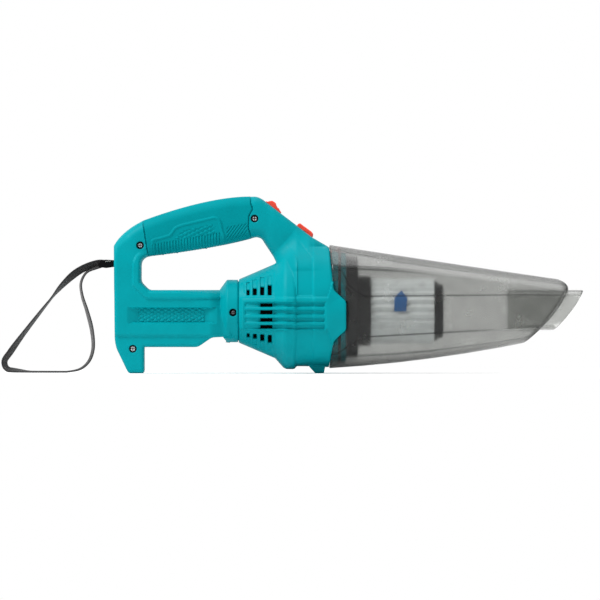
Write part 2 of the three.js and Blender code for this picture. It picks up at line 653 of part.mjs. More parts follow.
const baseTo = baseFrom + 21;
const endWidth = 9;
const pleatsFrom = baseTo + GAP;
const pleatsTo = pleatsFrom + filter.length;
function filterBaseRing() {
  const lug = (angle) => spun(
    box(groove.from + 0.5, groove.from + groove.width - 0.5, -lugHalf, lugHalf, axisHeight + filter.bore + 4,
      axisHeight + filter.base + lugRise), angle);
  const full = join(ring(baseFrom, baseTo, filter.base, filter.bore, 24), lug(0), lug(Math.PI));
  return cut(full, ring(baseTo - 4, baseTo + 1, filter.body - 2, filter.bore + 2, 24));
}
function filterPleats() {
  const star = (shape, shift) => {
    for (let i = 0; i <= 2 * filter.pleats; i++) {
      const angle = (i * Math.PI) / filter.pleats;
      const radius = filter.body - shift - (i % 2) * filter.pleatDepth;
      const [y, z] = [radius * Math.cos(angle), radius * Math.sin(angle)];
      if (i === 0) shape.moveTo(y, z);
      else shape.lineTo(y, z);
    }
    return shape;
  };
  const shape = star(new THREE.Shape(), 0);
  shape.holes.push(star(new THREE.Path(), 1.6));
  const geometry = new THREE.ExtrudeGeometry(shape, { depth: filter.length, bevelEnabled: false });
  return solid(geometry.rotateY(Math.PI / 2).translate(pleatsFrom, 0, axisHeight));
}
const filterEndCap = () => join(rod(pleatsTo + GAP, pleatsTo + GAP + endWidth, filter.end, 24),
  rod(pleatsTo + GAP, pleatsTo + GAP + 3, filter.body, 24));

// ---------------------------------------------------------------- switch
function powerSwitch() {
  return join(
    slopeBlock(knob.from, knobEnd, -knob.plate, 0.4, knob.half),
    plate(outline([onSlope(knob.from + 5, 0), onSlope(knobEnd - 1.5, 0), onSlope(knobEnd - 2.5, 3),
      onSlope(knobEnd - 5.5, 5), onSlope(knob.from + 9.5, knob.nub), onSlope(knob.from + 7, 4.5)]
      .map((p) => p.toArray())), knob.half - 1, 0.8),
    slopeBlock(stemFrom, stemTo, -switchDeck - 4, -0.5, knob.stem),
  );
}
const switchFrom = stemFrom - 2;
const switchDepth = 9.5;
function switchBody() {
  const block = slopeBlock(switchFrom, knobEnd + knob.travel, -switchDeck - switchDepth, -switchDeck - GAP, 7);
  const well = slopeBlock(stemFrom - SLIDING, stemTo + knob.travel + SLIDING, -switchDeck - 4.8, 0,
    knob.stem + SLIDING);
  return cut(block, well);
}

// ---------------------------------------------------------------- latch
// Button and lever in one, hinged behind the button; its front part runs under the skin to the hook.
const hookRoot = spigotRear - 2;
function releaseLatch() {
  const top = button.rise;
  const pad = plate(outline([
    onSlope(button.from, -3), onSlope(buttonEnd, -3), onSlope(buttonEnd - 0.5, top - 2.4),
    onSlope(buttonEnd - 3.5, top), onSlope(button.from + 3, top), onSlope(button.from, top - 2),
  ].map((p) => p.toArray())), button.half, 0.8);
  const arm = plate(outline([
    onSlope(latch.pivotDown - 3.6, -latch.pivotUnder - 1).toArray(),
    onSlope(latch.pivotDown, -latch.pivotUnder - 3.8).toArray(),
    [springAt.x - spring.radius - 1, springTop + GAP],
    [springAt.x + spring.radius + 1, springTop + GAP],
    [hookRoot - 6, tongueUnder],
    [hookRoot, tongueUnder],
    [hookRoot, tongueTop],
    onSlope(buttonEnd - 1, -2).toArray(),
    onSlope(button.from + 2, -2).toArray(),
    onSlope(latch.pivotDown - 1, -latch.pivotUnder + 3.4).toArray(),
  ]), latch.half);
  return cut(join(pad, arm), crossPin(latchPivot.x, latchPivot.y, latch.pin + GAP, -30, 30));
}
function latchHook() {
  return plate(outline([
    [hookRoot + GAP, tongueUnder], [latch.hook + 2, tongueUnder], [latch.hook + 2, mouth.top - 2.6],
    [latch.hook - 0.5, mouth.top - 2.2], [latch.hook - 3, mouth.top - 5], [latch.hook - 3, tongueTop],
    [hookRoot + GAP, tongueTop],
  ]), latch.half);
}
class Helix extends THREE.Curve {
  getPoint(t, target = new THREE.Vector3()) {
    const angle = 2 * Math.PI * spring.turns * t;
    const rise = spring.wire + t * (springTop - spring.seat - 2 * spring.wire);
    return target.set(springAt.x + spring.radius * Math.cos(angle), spring.radius * Math.sin(angle),
      spring.seat + rise);
  }
}
function swept(curve, section, steps) {
  return solid(new THREE.ExtrudeGeometry(section, { steps, extrudePath: curve, curveSegments: 1 }));
}
function roundSection(radius, sides) {
  const corners = Array.from({ length: sides }, (_, i) => {
    const angle = (2 * Math.PI * (i + 0.5)) / sides;
    return new THREE.Vector2(radius * Math.cos(angle), radius * Math.sin(angle));
  });
  return new THREE.Shape(corners);
}
const latchSpring = () => swept(new Helix(), roundSection(spring.wire, 5), 10 * spring.turns);

// ---------------------------------------------------------------- battery terminals and leads
function terminalBlock() {
  const base = dockTop + wall + GAP;
  const flange = 3; // on the inner side of the dock's ceiling
  return join(
    box(terminal.from - flange, terminal.to + flange, -terminal.half - flange, terminal.half + flange,
      base, base + terminal.height),
    box(terminal.from + GAP, terminal.to - GAP, GAP - terminal.half, terminal.half - GAP,
      dockTop - 2, base + 1));
}
const bladeTop = dockTop - 2 - GAP;
const terminalBlade = (y) =>
  box(terminal.from + 3, terminal.to - 3, y - 0.5, y + 0.5, barBottom + 1.5, bladeTop);

const along = (points) =>
  new THREE.CatmullRomCurve3(points.map((p) => new THREE.Vector3(...p)), false, "centripetal");
const blockTop = dockTop + wall + GAP + terminal.height + GAP + lead.radius;
const columnX = rear + column / 2 - 3;
const gripMiddle = (gripTop + gripUnder) / 2;
const underSwitch = -switchDeck - switchDepth - 2 * GAP;
const [switchIn, switchOut] = [onSlope(switchFrom + 4, underSwitch), onSlope(switchFrom + 11, underSwitch)];
const bossFoot = screwPlaces[1].z - screw.boss; // the leads pass under this boss
const tabEnd = capRear - tabLength;
function leadToSwitch() {
  return along([
    [terminal.from + 4, 6, blockTop], [terminal.from - 14, 6, blockTop + 4], [columnX + 3, 6, blockTop + 12],
    [columnX, 6, gripUnder - 6], [columnX + 4, 6, gripUnder + 14], [openingRear + 16, 6, gripMiddle],
    [slopeStart.x - 44, 6, gripMiddle + 6], [slopeStart.x - 16, 5, bossFoot - 3.5],
    [slopeStart.x - 5, 4, bossFoot - 3.5], [switchIn.x - 1.5, 3, switchIn.y - 3], [switchIn.x, 3, switchIn.y],
  ]);
}
function leadSwitchToMotor() {
  return along([
    [switchOut.x, 3, switchOut.y], [switchOut.x - 1.5, 3, switchOut.y - 5],
    [flareEnd + 4, 4, switchOut.y - 28],
    [flareEnd + 3, 7, axisHeight + flareRadius - 9], [damper.from + 6, 11, axisHeight + damperOuter + 5],
    [damper.from - 3, 12, axisHeight + damperOuter + 1], [tabEnd - 6, 10, axisHeight + 9],
    [tabEnd - 4 * GAP, 10, axisHeight - 0.5],
  ]);
}
function leadBatteryToMotor() {
  return along([
    [terminal.to - 4, -6, blockTop], [terminal.to + 8, -8, blockTop + 3],
    [collarRear - 8, -14, axisHeight - 11], [collarFront - 4, -14, axisHeight - 13],
    [tabEnd - 4, -11, axisHeight - 7], [tabEnd - 4 * GAP, -10, axisHeight - 0.5],
  ]);
}
const leadSolid = (curve) => swept(curve, roundSection(lead.radius, lead.sides), lead.steps);

// ---------------------------------------------------------------- wrist strap
// Webbing folded into a loop: both ends go into the slot, and the loop rests on the floor.
const strapLift = strap.thick / 2 + GAP;
function strapCurve() {
  const [x, z] = [rear, strap.height];
  const upper = strapLift + GAP;
  return along([
    [x + 1.2, 0, z + upper], [x - 8, 0, z + upper], [x - 20, 0, z - 1], [x - 35, 0, z - 8],
    [x - 50, 0, z - 21], [x - 65, 0, z - 39], [x - 80, 0, z - 58], [x - 93, 0, z - 75],
    [x - 103, 0, z - 89], [x - 108.5, 0, 12], [x - 107, 0, 5.5], [x - 101, 0, 2],
    [x - 91, 0, strapLift], [x - 78, 0, strapLift], [x - 62, 0, strapLift], [x - 44, 0, strapLift + 0.6],
    [x - 32, 0, 4.5], [x - 24, 0, 12], [x - 20, 0, 24], [x - 21, 0, 42], [x - 26, 0, 62],
    [x - 31, 0, 78], [x - 32, 0, 90], [x - 27, 0, 100], [x - 18, 0, z - upper - 3.2],
    [x - 8, 0, z - upper], [x + 1.2, 0, z - upper],
  ]);
}
function webbing() {
  const [half, edge] = [strap.width / 2, strap.thick / 2];
  const section = new THREE.Shape([
    [-edge, 0.6 - half], [0.3 - edge, -half], [edge - 0.3, -half], [edge, 0.6 - half],
    [edge, half - 0.6], [edge - 0.3, half], [0.3 - edge, half], [-edge, half - 0.6]]
    .map(([a, b]) => new THREE.Vector2(b, a)));
  return swept(strapCurve(), section, 64);
}

// ---------------------------------------------------------------- the vacuum
const vacuum = new THREE.Group();
vacuum.add(
  mesh("housing_right", TEAL, sideOf(-1)),
  mesh("housing_left", TEAL, sideOf(1)),
  mesh("grip_pad_right", GRIP, gripPad(-1)),
  mesh("grip_pad_left", GRIP, gripPad(1)),
  ...screwPlaces.map((place, i) => mesh(`housing_screw_${i + 1}`, STEEL, housingScrew(place))),
  mesh("strap_pin", STEEL, crossPin(strapPinX, strap.height, strap.pin, -strapPinHalf, strapPinHalf)),
  mesh("wrist_strap", WEBBING, webbing()),
  mesh("battery_terminal_block", BLACK, terminalBlock()),
  ...[-7, 0, 7].map((y, i) => mesh(`terminal_blade_${i + 1}`, COPPER, terminalBlade(y))),
  mesh("lead_battery_to_switch", RED_LEAD, leadSolid(leadToSwitch())),
  mesh("lead_switch_to_motor", RED_LEAD, leadSolid(leadSwitchToMotor())),
  mesh("lead_battery_to_motor", BLACK, leadSolid(leadBatteryToMotor())),
  mesh("motor_can", STEEL, motorCan()),
  mesh("motor_end_cap", BLACK, motorEndCap()),
  mesh("motor_magnet_right", BLACK, motorMagnet(-1)),
  mesh("motor_magnet_left", BLACK, motorMagnet(1)),
  mesh("motor_bush_rear", COPPER, motorBush(capRear + 1.5)),
  mesh("motor_bush_front", COPPER, motorBush(canFront - bushLength)),
  mesh("motor_damper", RUBBER,
    ring(damper.from, damper.from + damper.width, damperOuter, motor.radius + GAP)),
  mesh("motor_mount", BLACK, motorMount()),
  mesh("motor_shaft", STEEL, rod(shaftRear, shaftFront, motor.shaft, 16)),
  mesh("armature", COPPER, armature()),
  mesh("commutator", COPPER, commutator()),
  mesh("impeller", BLACK, impeller()),
  mesh("impeller_nut", STEEL, ring(nutFrom, shaftFront - 1, 4, motor.shaft + GAP, 6)),
  mesh("cup_spigot", TEAL, cut(cupSpigot(), sealGroove())),
  mesh("cup_seal", RUBBER, cupSeal()),
  mesh("power_switch", RED, powerSwitch()),
  mesh("switch_body", BLACK, switchBody()),
  mesh("release_latch", RED, releaseLatch()),
  mesh("latch_hook", RED, latchHook()),
  mesh("latch_pin", STEEL, crossPin(latchPivot.x, latchPivot.y, latch.pin, -latchPinHalf, latchPinHalf)),
  mesh("latch_spring", STEEL, latchSpring()),
  mesh("dust_cup", SMOKE, dustCup()),
  mesh("intake_nozzle", SMOKE, intakeNozzle()),
  mesh("filter_holder", BLACK, filterHolder()),
  mesh("filter_base_ring", BLACK, filterBaseRing()),
  mesh("filter_pleats", MEDIA, filterPleats()),
  mesh("filter_end_cap", BLACK, filterEndCap()),
);
vacuum.position.x = -(rear + tip) / 2;

export default vacuum;
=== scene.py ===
"""Looks of a cordless handheld vacuum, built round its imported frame.

Lengths in this file are millimetres from the cup's mouth (x), the middle plane (y) and the floor (z).
The function row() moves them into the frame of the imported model. Every surface is a function of two
parameters worked out on a numpy grid, or a profile carried along a path.
"""

from __future__ import annotations

import logging
import math
from dataclasses import dataclass, field
from enum import Enum
from typing import Callable, Sequence

import bpy
import numpy as np
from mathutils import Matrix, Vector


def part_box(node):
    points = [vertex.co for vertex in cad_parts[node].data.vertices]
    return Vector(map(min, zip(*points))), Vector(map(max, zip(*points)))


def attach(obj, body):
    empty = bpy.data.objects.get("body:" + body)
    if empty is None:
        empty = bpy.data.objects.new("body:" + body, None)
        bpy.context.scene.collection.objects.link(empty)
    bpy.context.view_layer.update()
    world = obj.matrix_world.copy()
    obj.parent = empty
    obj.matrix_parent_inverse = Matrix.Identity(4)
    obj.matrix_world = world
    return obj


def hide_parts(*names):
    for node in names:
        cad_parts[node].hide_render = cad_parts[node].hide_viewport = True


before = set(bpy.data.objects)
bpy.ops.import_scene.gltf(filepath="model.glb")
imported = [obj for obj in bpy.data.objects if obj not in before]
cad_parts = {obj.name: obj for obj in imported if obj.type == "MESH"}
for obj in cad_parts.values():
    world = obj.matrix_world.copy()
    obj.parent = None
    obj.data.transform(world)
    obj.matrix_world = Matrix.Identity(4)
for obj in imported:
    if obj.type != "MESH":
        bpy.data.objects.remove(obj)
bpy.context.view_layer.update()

Array = np.ndarray
Field = Callable[[Array, Array], Array]

LOG = logging.getLogger("vacuum")
METRE = 0.001  # metres in a millimetre
GAP = 0.3  # between pieces that touch
MOUTH_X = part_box("dust_cup")[0].x / METRE - GAP  # place of the cup's mouth in the frame, mm
AXIS = 62.0  # height of the motor's axis
SQUARENESS = 2.35  # exponent of the cup's superellipse section
TUBE_SQUARENESS = 5.0  # the same for the intake tube
SKIRT_HALF = 8.0  # half width where a skirt's pockets start, if it has none
SKIRT_SHARE = 0.75  # and that as the largest share of the shell's half width
LEAST_HEIGHT = 2.0  # of a housing half over the parting plane
SLOPE_NEAR = 2.5  # a point this near to the front slope is on it
HIGHLIGHT_EDGES = (0.52, 0.62)  # pointiness where an edge's painted highlight starts, and where it is full


class Side(Enum):
    """The two halves of the housing. The value is the sign of y."""

    RIGHT = -1
    LEFT = 1


# ------------------------------------------------------------------ small numpy tools
def row(points: Array) -> Array:
    """Moves points from this file's millimetres into the frame, in metres.

    Args:
        points: Array (n, 3).

    Returns:
        Array (n, 3) in metres.
    """
    return (np.asarray(points, float).reshape(-1, 3) + (MOUTH_X, 0.0, 0.0)) * METRE


def ramp(value: Array, low: float, high: float) -> Array:
    """A smooth step: 3t^2 - 2t^3 of t, which goes from 0 at low to 1 at high."""
    t = np.clip((value - low) / (high - low), 0.0, 1.0)
    return t * t * (3.0 - 2.0 * t)


def smooth_max(a: Array, b: Array, width: float) -> Array:
    """The larger of two heights, with a fillet where they are within width of each other."""
    near = np.clip(width - np.abs(a - b), 0.0, None) / width
    return np.maximum(a, b) + near * near * width / 4.0


def rounded(corners: Sequence[Sequence[float]], steps: int = 6) -> Array:
    """A closed outline with its corners rounded by quadratic curves.

    Args:
        corners: Points (x, z) or (x, z, radius).
        steps: Points on each rounded corner.

    Returns:
        Array (n, 2).
    """
    points = [np.array(c[:2], float) for c in corners]
    made = []
    for i, corner in enumerate(corners):
        here, radius = points[i], corner[2] if len(corner) > 2 else 0.0
        if not radius:
            made.append(here[None])
            continue
        before, after = points[i - 1] - here, points[(i + 1) % len(points)] - here
        start = here + before / np.linalg.norm(before) * radius
        end = here + after / np.linalg.norm(after) * radius
        t = np.linspace(0.0, 1.0, steps)[:, None]
        made.append((1 - t) ** 2 * start + 2 * t * (1 - t) * here + t**2 * end)
    return np.concatenate(made)


def bezier(controls: Sequence[Sequence[float]], steps: int = 16) -> Array:
    """Points of the Bezier curve with these control points, by the Bernstein sum."""
    points = np.array(controls, float)
    n = len(points) - 1
    t = np.linspace(0.0, 1.0, steps)[:, None]
    weights = [math.comb(n, k) * t**k * (1 - t) ** (n - k) for k in range(n + 1)]
    return sum(w * p for w, p in zip(weights, points))


def inside(x: Array, z: Array, outline: Array) -> Array:
    """Signed distance to a closed outline, positive inside.

    The distance is the least over the outline's edges, and the sign is from how many edges a ray crosses.
    """
    shape = np.shape(x)
    px, pz = np.ravel(x)[:, None], np.ravel(z)[:, None]
    a, b = outline, np.roll(outline, -1, axis=0)
    ex, ez = (b - a).T
    t = ((px - a[:, 0]) * ex + (pz - a[:, 1]) * ez) / np.maximum(ex * ex + ez * ez, 1e-12)
    t = np.clip(t, 0.0, 1.0)
    gap = np.hypot(px - a[:, 0] - t * ex, pz - a[:, 1] - t * ez).min(axis=1)
    rise = np.where(np.abs(ez) < 1e-12, 1e-12, ez)
    crossed = ((a[:, 1] > pz) != (b[:, 1] > pz)) & (px < ex * (pz - a[:, 1]) / rise + a[:, 0])
    return np.where(crossed.sum(axis=1) % 2 == 1, gap, -gap).reshape(shape)


def stretch(u: Array, v: Array, power: float) -> Array:
    """What takes a point (u, v) of the unit circle out to the superellipse of that exponent."""
    return (np.abs(u) ** power + np.abs(v) ** power) ** (-1 / power)


def box_inside(x: Array, z: Array, x0: float, x1: float, z0: float, z1: float) -> Array:
    """Distance inside a rectangle, negative outside."""
    return np.minimum.reduce([x - x0, x1 - x, z - z0, z1 - z])


def everywhere(x: Array, z: Array) -> Array:
    """The distance inside an outline that is far away on all sides."""
    return np.full_like(x, 99.0)


def grid_faces(rows: int, columns: int, close_rows: bool = False, close_columns: bool = False) -> Array:
    """Quads of a grid of points numbered row by row.

    Args:
        rows, columns: Size of the grid of points.
        close_rows: Joins the last row to the first.
        close_columns: Joins the last column to the first.

    Returns:
        Array (n, 4) of point numbers.
    """
    i = np.arange(rows if close_rows else rows - 1)[:, None]
    j = np.arange(columns if close_columns else columns - 1)[None]
    i1, j1 = (i + 1) % rows, (j + 1) % columns
    quads = np.stack([i * columns + j, i * columns + j1, i1 * columns + j1, i1 * columns + j], axis=-1)
    return quads.reshape(-1, 4)


def outward(points: Array, faces: Array) -> Array:
    """The same quads, turned round if the closed surface they make has a negative volume."""
    a, b, c, d = (points[faces[:, k]] for k in range(4))
    volume = (np.cross(b - a, c - a) * a).sum() + (np.cross(c - a, d - a) * a).sum()
    return faces if volume > 0 else faces[:, ::-1]


# ------------------------------------------------------------------ meshes
def add_mesh(name: str, points: Array, faces: Sequence[Array], sharp: float = 35.0,
             smooth: bool = True) -> bpy.types.Object:
    """Makes an object at the origin from points in this file's millimetres.

    Args:
        name: Name of the piece.
        points: Array (n, 3).
        faces: Arrays of point numbers, each with faces of one size.
        sharp: Edges that turn by more degrees than this are drawn sharp.
        smooth: Shades the faces smoothly.

    Returns:
        The new object.
    """
    mesh = bpy.data.meshes.new(name)
    mesh.from_pydata(row(points).tolist(), [], [f for part in faces for f in part.tolist()])
    if smooth:
        mesh.polygons.foreach_set("use_smooth", np.ones(len(mesh.polygons), bool))
        mesh.update()
        mesh.set_sharp_from_angle(angle=math.radians(sharp))
    made = bpy.data.objects.new(name, mesh)
    bpy.context.scene.collection.objects.link(made)
    return made


def thicken(made: bpy.types.Object, thickness: float) -> bpy.types.Object:
    """Gives an open surface a wall of that many millimetres behind its outer face."""
    wall = made.modifiers.new("wall", "SOLIDIFY")
    wall.thickness = thickness * METRE
    wall.offset = -1.0
    return made


def loop_surface(name: str, section: Array, sharp: float = 35.0) -> bpy.types.Object:
    """A closed surface from a grid of points that closes both ways, such as a ring of closed sections.

    Args:
        name: Name of the piece.
        section: Array (around, along, 3).
        sharp: Angle of sharp edges.
    """
    points = section.reshape(-1, 3)
    faces = outward(points, grid_faces(*section.shape[:2], True, True))
    return add_mesh(name, points, [faces], sharp)


def turned(name: str, profile: Sequence[Sequence[float]], sides: int = 72,
           radius_at: Callable[[Array, Array], Array] | None = None, sharp: float = 35.0) -> bpy.types.Object:
    """A closed profile of (x, radius) points carried round the motor's axis.

    Args:
        name: Name of the piece.
        profile: Closed outline, each point once.
        sides: Steps round the axis.
        radius_at: Changes the radius, given radius and angle on a grid.
        sharp: Angle of sharp edges.
    """
    x, radius = np.array(profile, float).T
    angle = np.linspace(0.0, 2 * np.pi, sides, endpoint=False)[:, None]
    r = np.broadcast_to(radius, (sides, len(x)))
    if radius_at is not None:
        r = radius_at(r, angle)
    points = np.stack([np.broadcast_to(x, r.shape), r * np.sin(angle), AXIS + r * np.cos(angle)], axis=-1)
    return loop_surface(name, points, sharp=sharp)


def plate(name: str, outline: Array, half: float, edge: float, steps: int = 4,
          sharp: float = 35.0) -> bpy.types.Object:
    """An outline in the side view carried across from -half to half, with rounded edges.

    Rows of the surface are copies of the outline, shrunk by edge * (1 - sin) while y goes edge * cos
    towards the middle, and the two ends are closed by flat faces.

    Args:
        name: Name of the piece.
        outline: Array (n, 2).
        half: Half width.
        edge: Radius of the rounded edges.
        steps: Rows on each rounded edge.
        sharp: Angle of sharp edges.
    """
    before, after = np.roll(outline, 1, axis=0), np.roll(outline, -1, axis=0)
    tangent = after - before
    tangent /= np.linalg.norm(tangent, axis=1)[:, None]
    area = (outline[:, 0] * after[:, 1] - after[:, 0] * outline[:, 1]).sum()
    inwards = np.stack([-tangent[:, 1], tangent[:, 0]], axis=1) * np.sign(area)
    turn = np.linspace(0.0, np.pi / 2, steps)
    shrink = np.concatenate([edge * (1 - np.sin(turn)), edge * (1 - np.sin(turn))[::-1]])
    y = np.concatenate([-half + edge * (1 - np.cos(turn)), (half - edge * (1 - np.cos(turn)))[::-1]])
    flat = outline[None] + shrink[:, None, None] * inwards[None]
    points = np.stack([flat[..., 0], np.broadcast_to(y[:, None], flat.shape[:2]), flat[..., 1]], axis=-1)
    n = len(outline)
    faces = grid_faces(len(y), n, False, True)
    caps = np.stack([np.arange(n), (len(y) - 1) * n + np.arange(n)[::-1]])
    if area < 0:
        faces, caps = faces[:, ::-1], caps[:, ::-1]
    return add_mesh(name, points.reshape(-1, 3), [faces, caps], sharp)


def join(name: str, parts: Sequence[bpy.types.Object]) -> bpy.types.Object:
    """Joins finished pieces of one finish into one object."""
    with bpy.context.temp_override(active_object=parts[0], selected_editable_objects=list(parts)):
        bpy.ops.object.join()
    parts[0].name = parts[0].data.name = name
    return parts[0]


# ------------------------------------------------------------------ finishes
def linear(red: int, green: int, blue: int) -> tuple[float, float, float, float]:
    """An sRGB colour, 0 to 255 each, as linear light with alpha 1."""
    values = np.array([red, green, blue]) / 255.0
    light = np.where(values <= 0.04045, values / 12.92, ((values + 0.055) / 1.055) ** 2.4)
    return (*(float(v) for v in light), 1.0)


class Shader:
    """Builds the node tree of one material."""

    def __init__(self, name: str) -> None:
        """Starts a material with one Principled shader."""
        self.material = bpy.data.materials.new(name)
        self.material.use_nodes = True
        self.tree = self.material.node_tree
        self.body = self.tree.nodes["Principled BSDF"]
        self.place = self.add("ShaderNodeTexCoord").outputs["Object"]

    def add(self, kind: str, options: dict | None = None, **values: object) -> bpy.types.Node:
        """Adds a node. Options are its properties, and values are its sockets, where _ stands for a space."""
        node = self.tree.nodes.new(kind)
        for key, value in (options or {}).items():
            setattr(node, key, value)
        for key, value in values.items():
            node.inputs[key.replace("_", " ")].default_value = value
        return node

    def wire(self, output: bpy.types.NodeSocket, target: bpy.types.NodeSocket) -> None:
        """Links an output to an input."""
        self.tree.links.new(output, target)

    def set(self, **values: object) -> None:
        """Sets sockets of the Principled shader."""
        for key, value in values.items():
            self.body.inputs[key.replace("_", " ")].default_value = value

    def noise(self, size: float, detail: float = 3.0,
              squeeze: Sequence[float] = (1, 1, 1)) -> bpy.types.NodeSocket:
        """Noise whose grains are size millimetres, stretched by the inverse of squeeze."""
        mapping = self.add("ShaderNodeMapping", Scale=tuple(squeeze))
        self.wire(self.place, mapping.inputs["Vector"])
        node = self.add("ShaderNodeTexNoise", Scale=1.0 / (size * METRE), Detail=detail)
        self.wire(mapping.outputs["Vector"], node.inputs["Vector"])
        return node.outputs["Fac"]

    def between(self, factor: bpy.types.NodeSocket, low: Sequence[float], high: Sequence[float],
                start: float = 0.3, end: float = 0.7) -> bpy.types.NodeSocket:
        """A colour that goes from low to high as the factor goes from start to end."""
        node = self.add("ShaderNodeValToRGB")
        node.color_ramp.elements[0].position, node.color_ramp.elements[1].position = start, end
        node.color_ramp.elements[0].color, node.color_ramp.elements[1].color = low, high
        self.wire(factor, node.inputs["Fac"])
        return node.outputs["Color"]

    def spread(self, factor: bpy.types.NodeSocket, low: float, high: float) -> bpy.types.NodeSocket:
        """A number that goes from low to high as the factor goes from 0.3 to 0.7."""
        node = self.add("ShaderNodeMapRange", From_Min=0.3, From_Max=0.7, To_Min=low, To_Max=high)
        self.wire(factor, node.inputs["Value"])
        return node.outputs["Result"]

    def bump(self, *layers: tuple[bpy.types.NodeSocket, float]) -> None:
        """Stacks bump layers, each a height and its depth in millimetres."""
        normal = None
        for height, depth in layers:
            node = self.add("ShaderNodeBump", Strength=1.0, Distance=depth * METRE)
            self.wire(height, node.inputs["Height"])
            if normal is not None:
                self.wire(normal, node.inputs["Normal"])
            normal = node.outputs["Normal"]
        self.wire(normal, self.body.inputs["Normal"])


def scaled(colour: Sequence[float], factor: float) -> tuple[float, ...]:
    """A colour made lighter or darker."""
    return tuple(min(c * factor, 1.0) for c in colour[:3]) + (1.0,)


@dataclass(frozen=True)
class Moulded:
    """Injection-moulded plastic or rubber with a fine spark-eroded grain.

    Attributes:
        name: Material's name.
        colour: Linear colour.
        roughness: Middle of its range.
        grain: Size of the grain, mm.
        relief: Depth of the grain, mm.
        mottling: How far the colour drifts over a few centimetres.
        edge_highlight: How much lighter raised edges are drawn, a painted highlight.
        gloss: Specular level.
    """

    name: str
    colour: tuple[float, ...]
    roughness: float = 0.42
    grain: float = 0.35
    relief: float = 0.012
    mottling: float = 0.05
    edge_highlight: float = 0.12
    gloss: float = 0.05

    def build(self) -> bpy.types.Material:
        """Colour drifts with a coarse noise and is drawn lighter on edges as a painted highlight, and a fine noise
        gives the grain.
        """
        s = Shader(self.name)
        drift = s.noise(24.0)
        base = s.between(drift, scaled(self.colour, 1 - self.mottling),
                         scaled(self.colour, 1 + self.mottling))
        # painted highlight: edges found by pointiness are mixed towards a lighter copy of the colour
        edge = s.add("ShaderNodeNewGeometry").outputs["Pointiness"]
        edge_lit = s.add("ShaderNodeMapRange", From_Min=HIGHLIGHT_EDGES[0], From_Max=HIGHLIGHT_EDGES[1], To_Min=0.0,
                       To_Max=self.edge_highlight)
        s.wire(edge, edge_lit.inputs["Value"])
        mix = s.add("ShaderNodeMix", {"data_type": "RGBA"})
        mix.inputs[7].default_value = scaled(self.colour, 1.6)
        s.wire(edge_lit.outputs["Result"], mix.inputs[0])
        s.wire(base, mix.inputs[6])
        s.wire(mix.outputs[2], s.body.inputs["Base Color"])
        s.wire(s.spread(s.noise(6.0), self.roughness - 0.05, self.roughness + 0.06),
               s.body.inputs["Roughness"])
        s.set(Specular_IOR_Level=self.gloss)
        s.bump((s.noise(self.grain, 2.0), self.relief), (s.noise(14.0, 1.0), 0.02))
        return s.material


@dataclass(frozen=True)
class Smoked:
    """Smoked plastic that blurs what is behind it, with a little dust haze.

    Attributes:
        name: Material's name.
        colour: Linear colour that one wall lets through.
        roughness: Of both faces.
        ior: Of the plastic.
        shade: Linear colour of the painted shade, where the mesh's attribute "shade" is 1, as in its creases.
    """

    name: str
    colour: tuple[float, ...]
    roughness: float = 0.24
    ior: float = 1.34
    shade: tuple[float, ...] = (0.05, 0.055, 0.055, 1.0)

    def build(self) -> bpy.types.Material:
        """A coarse noise gives the haze, the shade attribute mixes in the painted shade, and light rays go
        straight in.
        """
        s = Shader(self.name)
        haze = s.noise(18.0, 4.0)
        clean = s.between(haze, scaled(self.colour, 0.94), scaled(self.colour, 1.06))
        # painted shade: the mesh's shade attribute darkens the creases, the roof's band and the rims
        marked = s.add("ShaderNodeAttribute", {"attribute_name": "shade"})
        tint = s.add("ShaderNodeMixRGB", Color2=self.shade)
        s.wire(marked.outputs["Fac"], tint.inputs["Fac"])
        s.wire(clean, tint.inputs["Color1"])
        s.wire(tint.outputs["Color"], s.body.inputs["Base Color"])
        s.wire(s.spread(haze, self.roughness - 0.03, self.roughness + 0.04), s.body.inputs["Roughness"])
        s.set(Transmission_Weight=1.0, IOR=self.ior)
        path = s.add("ShaderNodeLightPath")
        either = s.add("ShaderNodeMath", {"operation": "MAXIMUM"})
        s.wire(path.outputs["Is Shadow Ray"], either.inputs[0])
        s.wire(path.outputs["Is Diffuse Ray"], either.inputs[1])
        clear = s.add("ShaderNodeBsdfTransparent", Color=tuple(c**0.25 for c in self.colour[:3]) + (1.0,))
        mix = s.add("ShaderNodeMixShader")
        s.wire(either.outputs["Value"], mix.inputs["Fac"])
        s.wire(s.body.outputs["BSDF"], mix.inputs[1])
        s.wire(clear.outputs["BSDF"], mix.inputs[2])
        s.wire(mix.outputs["Shader"], s.tree.nodes["Material Output"].inputs["Surface"])
        return s.material


@dataclass(frozen=True)
class Metal:
    """Turned or drawn metal with fine lines along one direction.

    Attributes:
        name: Material's name.
        colour: Linear colour.
        roughness: Middle of its range.
        lines: Inverse stretch of the lines along x, y and z.
    """

    name: str
    colour: tuple[float, ...]
    roughness: float = 0.28
    lines: tuple[float, float, float] = (1.0, 0.08, 1.0)

    def build(self) -> bpy.types.Material:
        """A stretched noise drives colour, roughness and a shallow bump."""
        s = Shader(self.name)
        drawn = s.noise(0.5, 3.0, self.lines)
        s.wire(s.between(drawn, scaled(self.colour, 0.8), scaled(self.colour, 1.1)),
               s.body.inputs["Base Color"])
        s.wire(s.spread(drawn, self.roughness - 0.06, self.roughness + 0.08), s.body.inputs["Roughness"])
        s.set(Metallic=1.0)
        s.bump((drawn, 0.008))
        return s.material


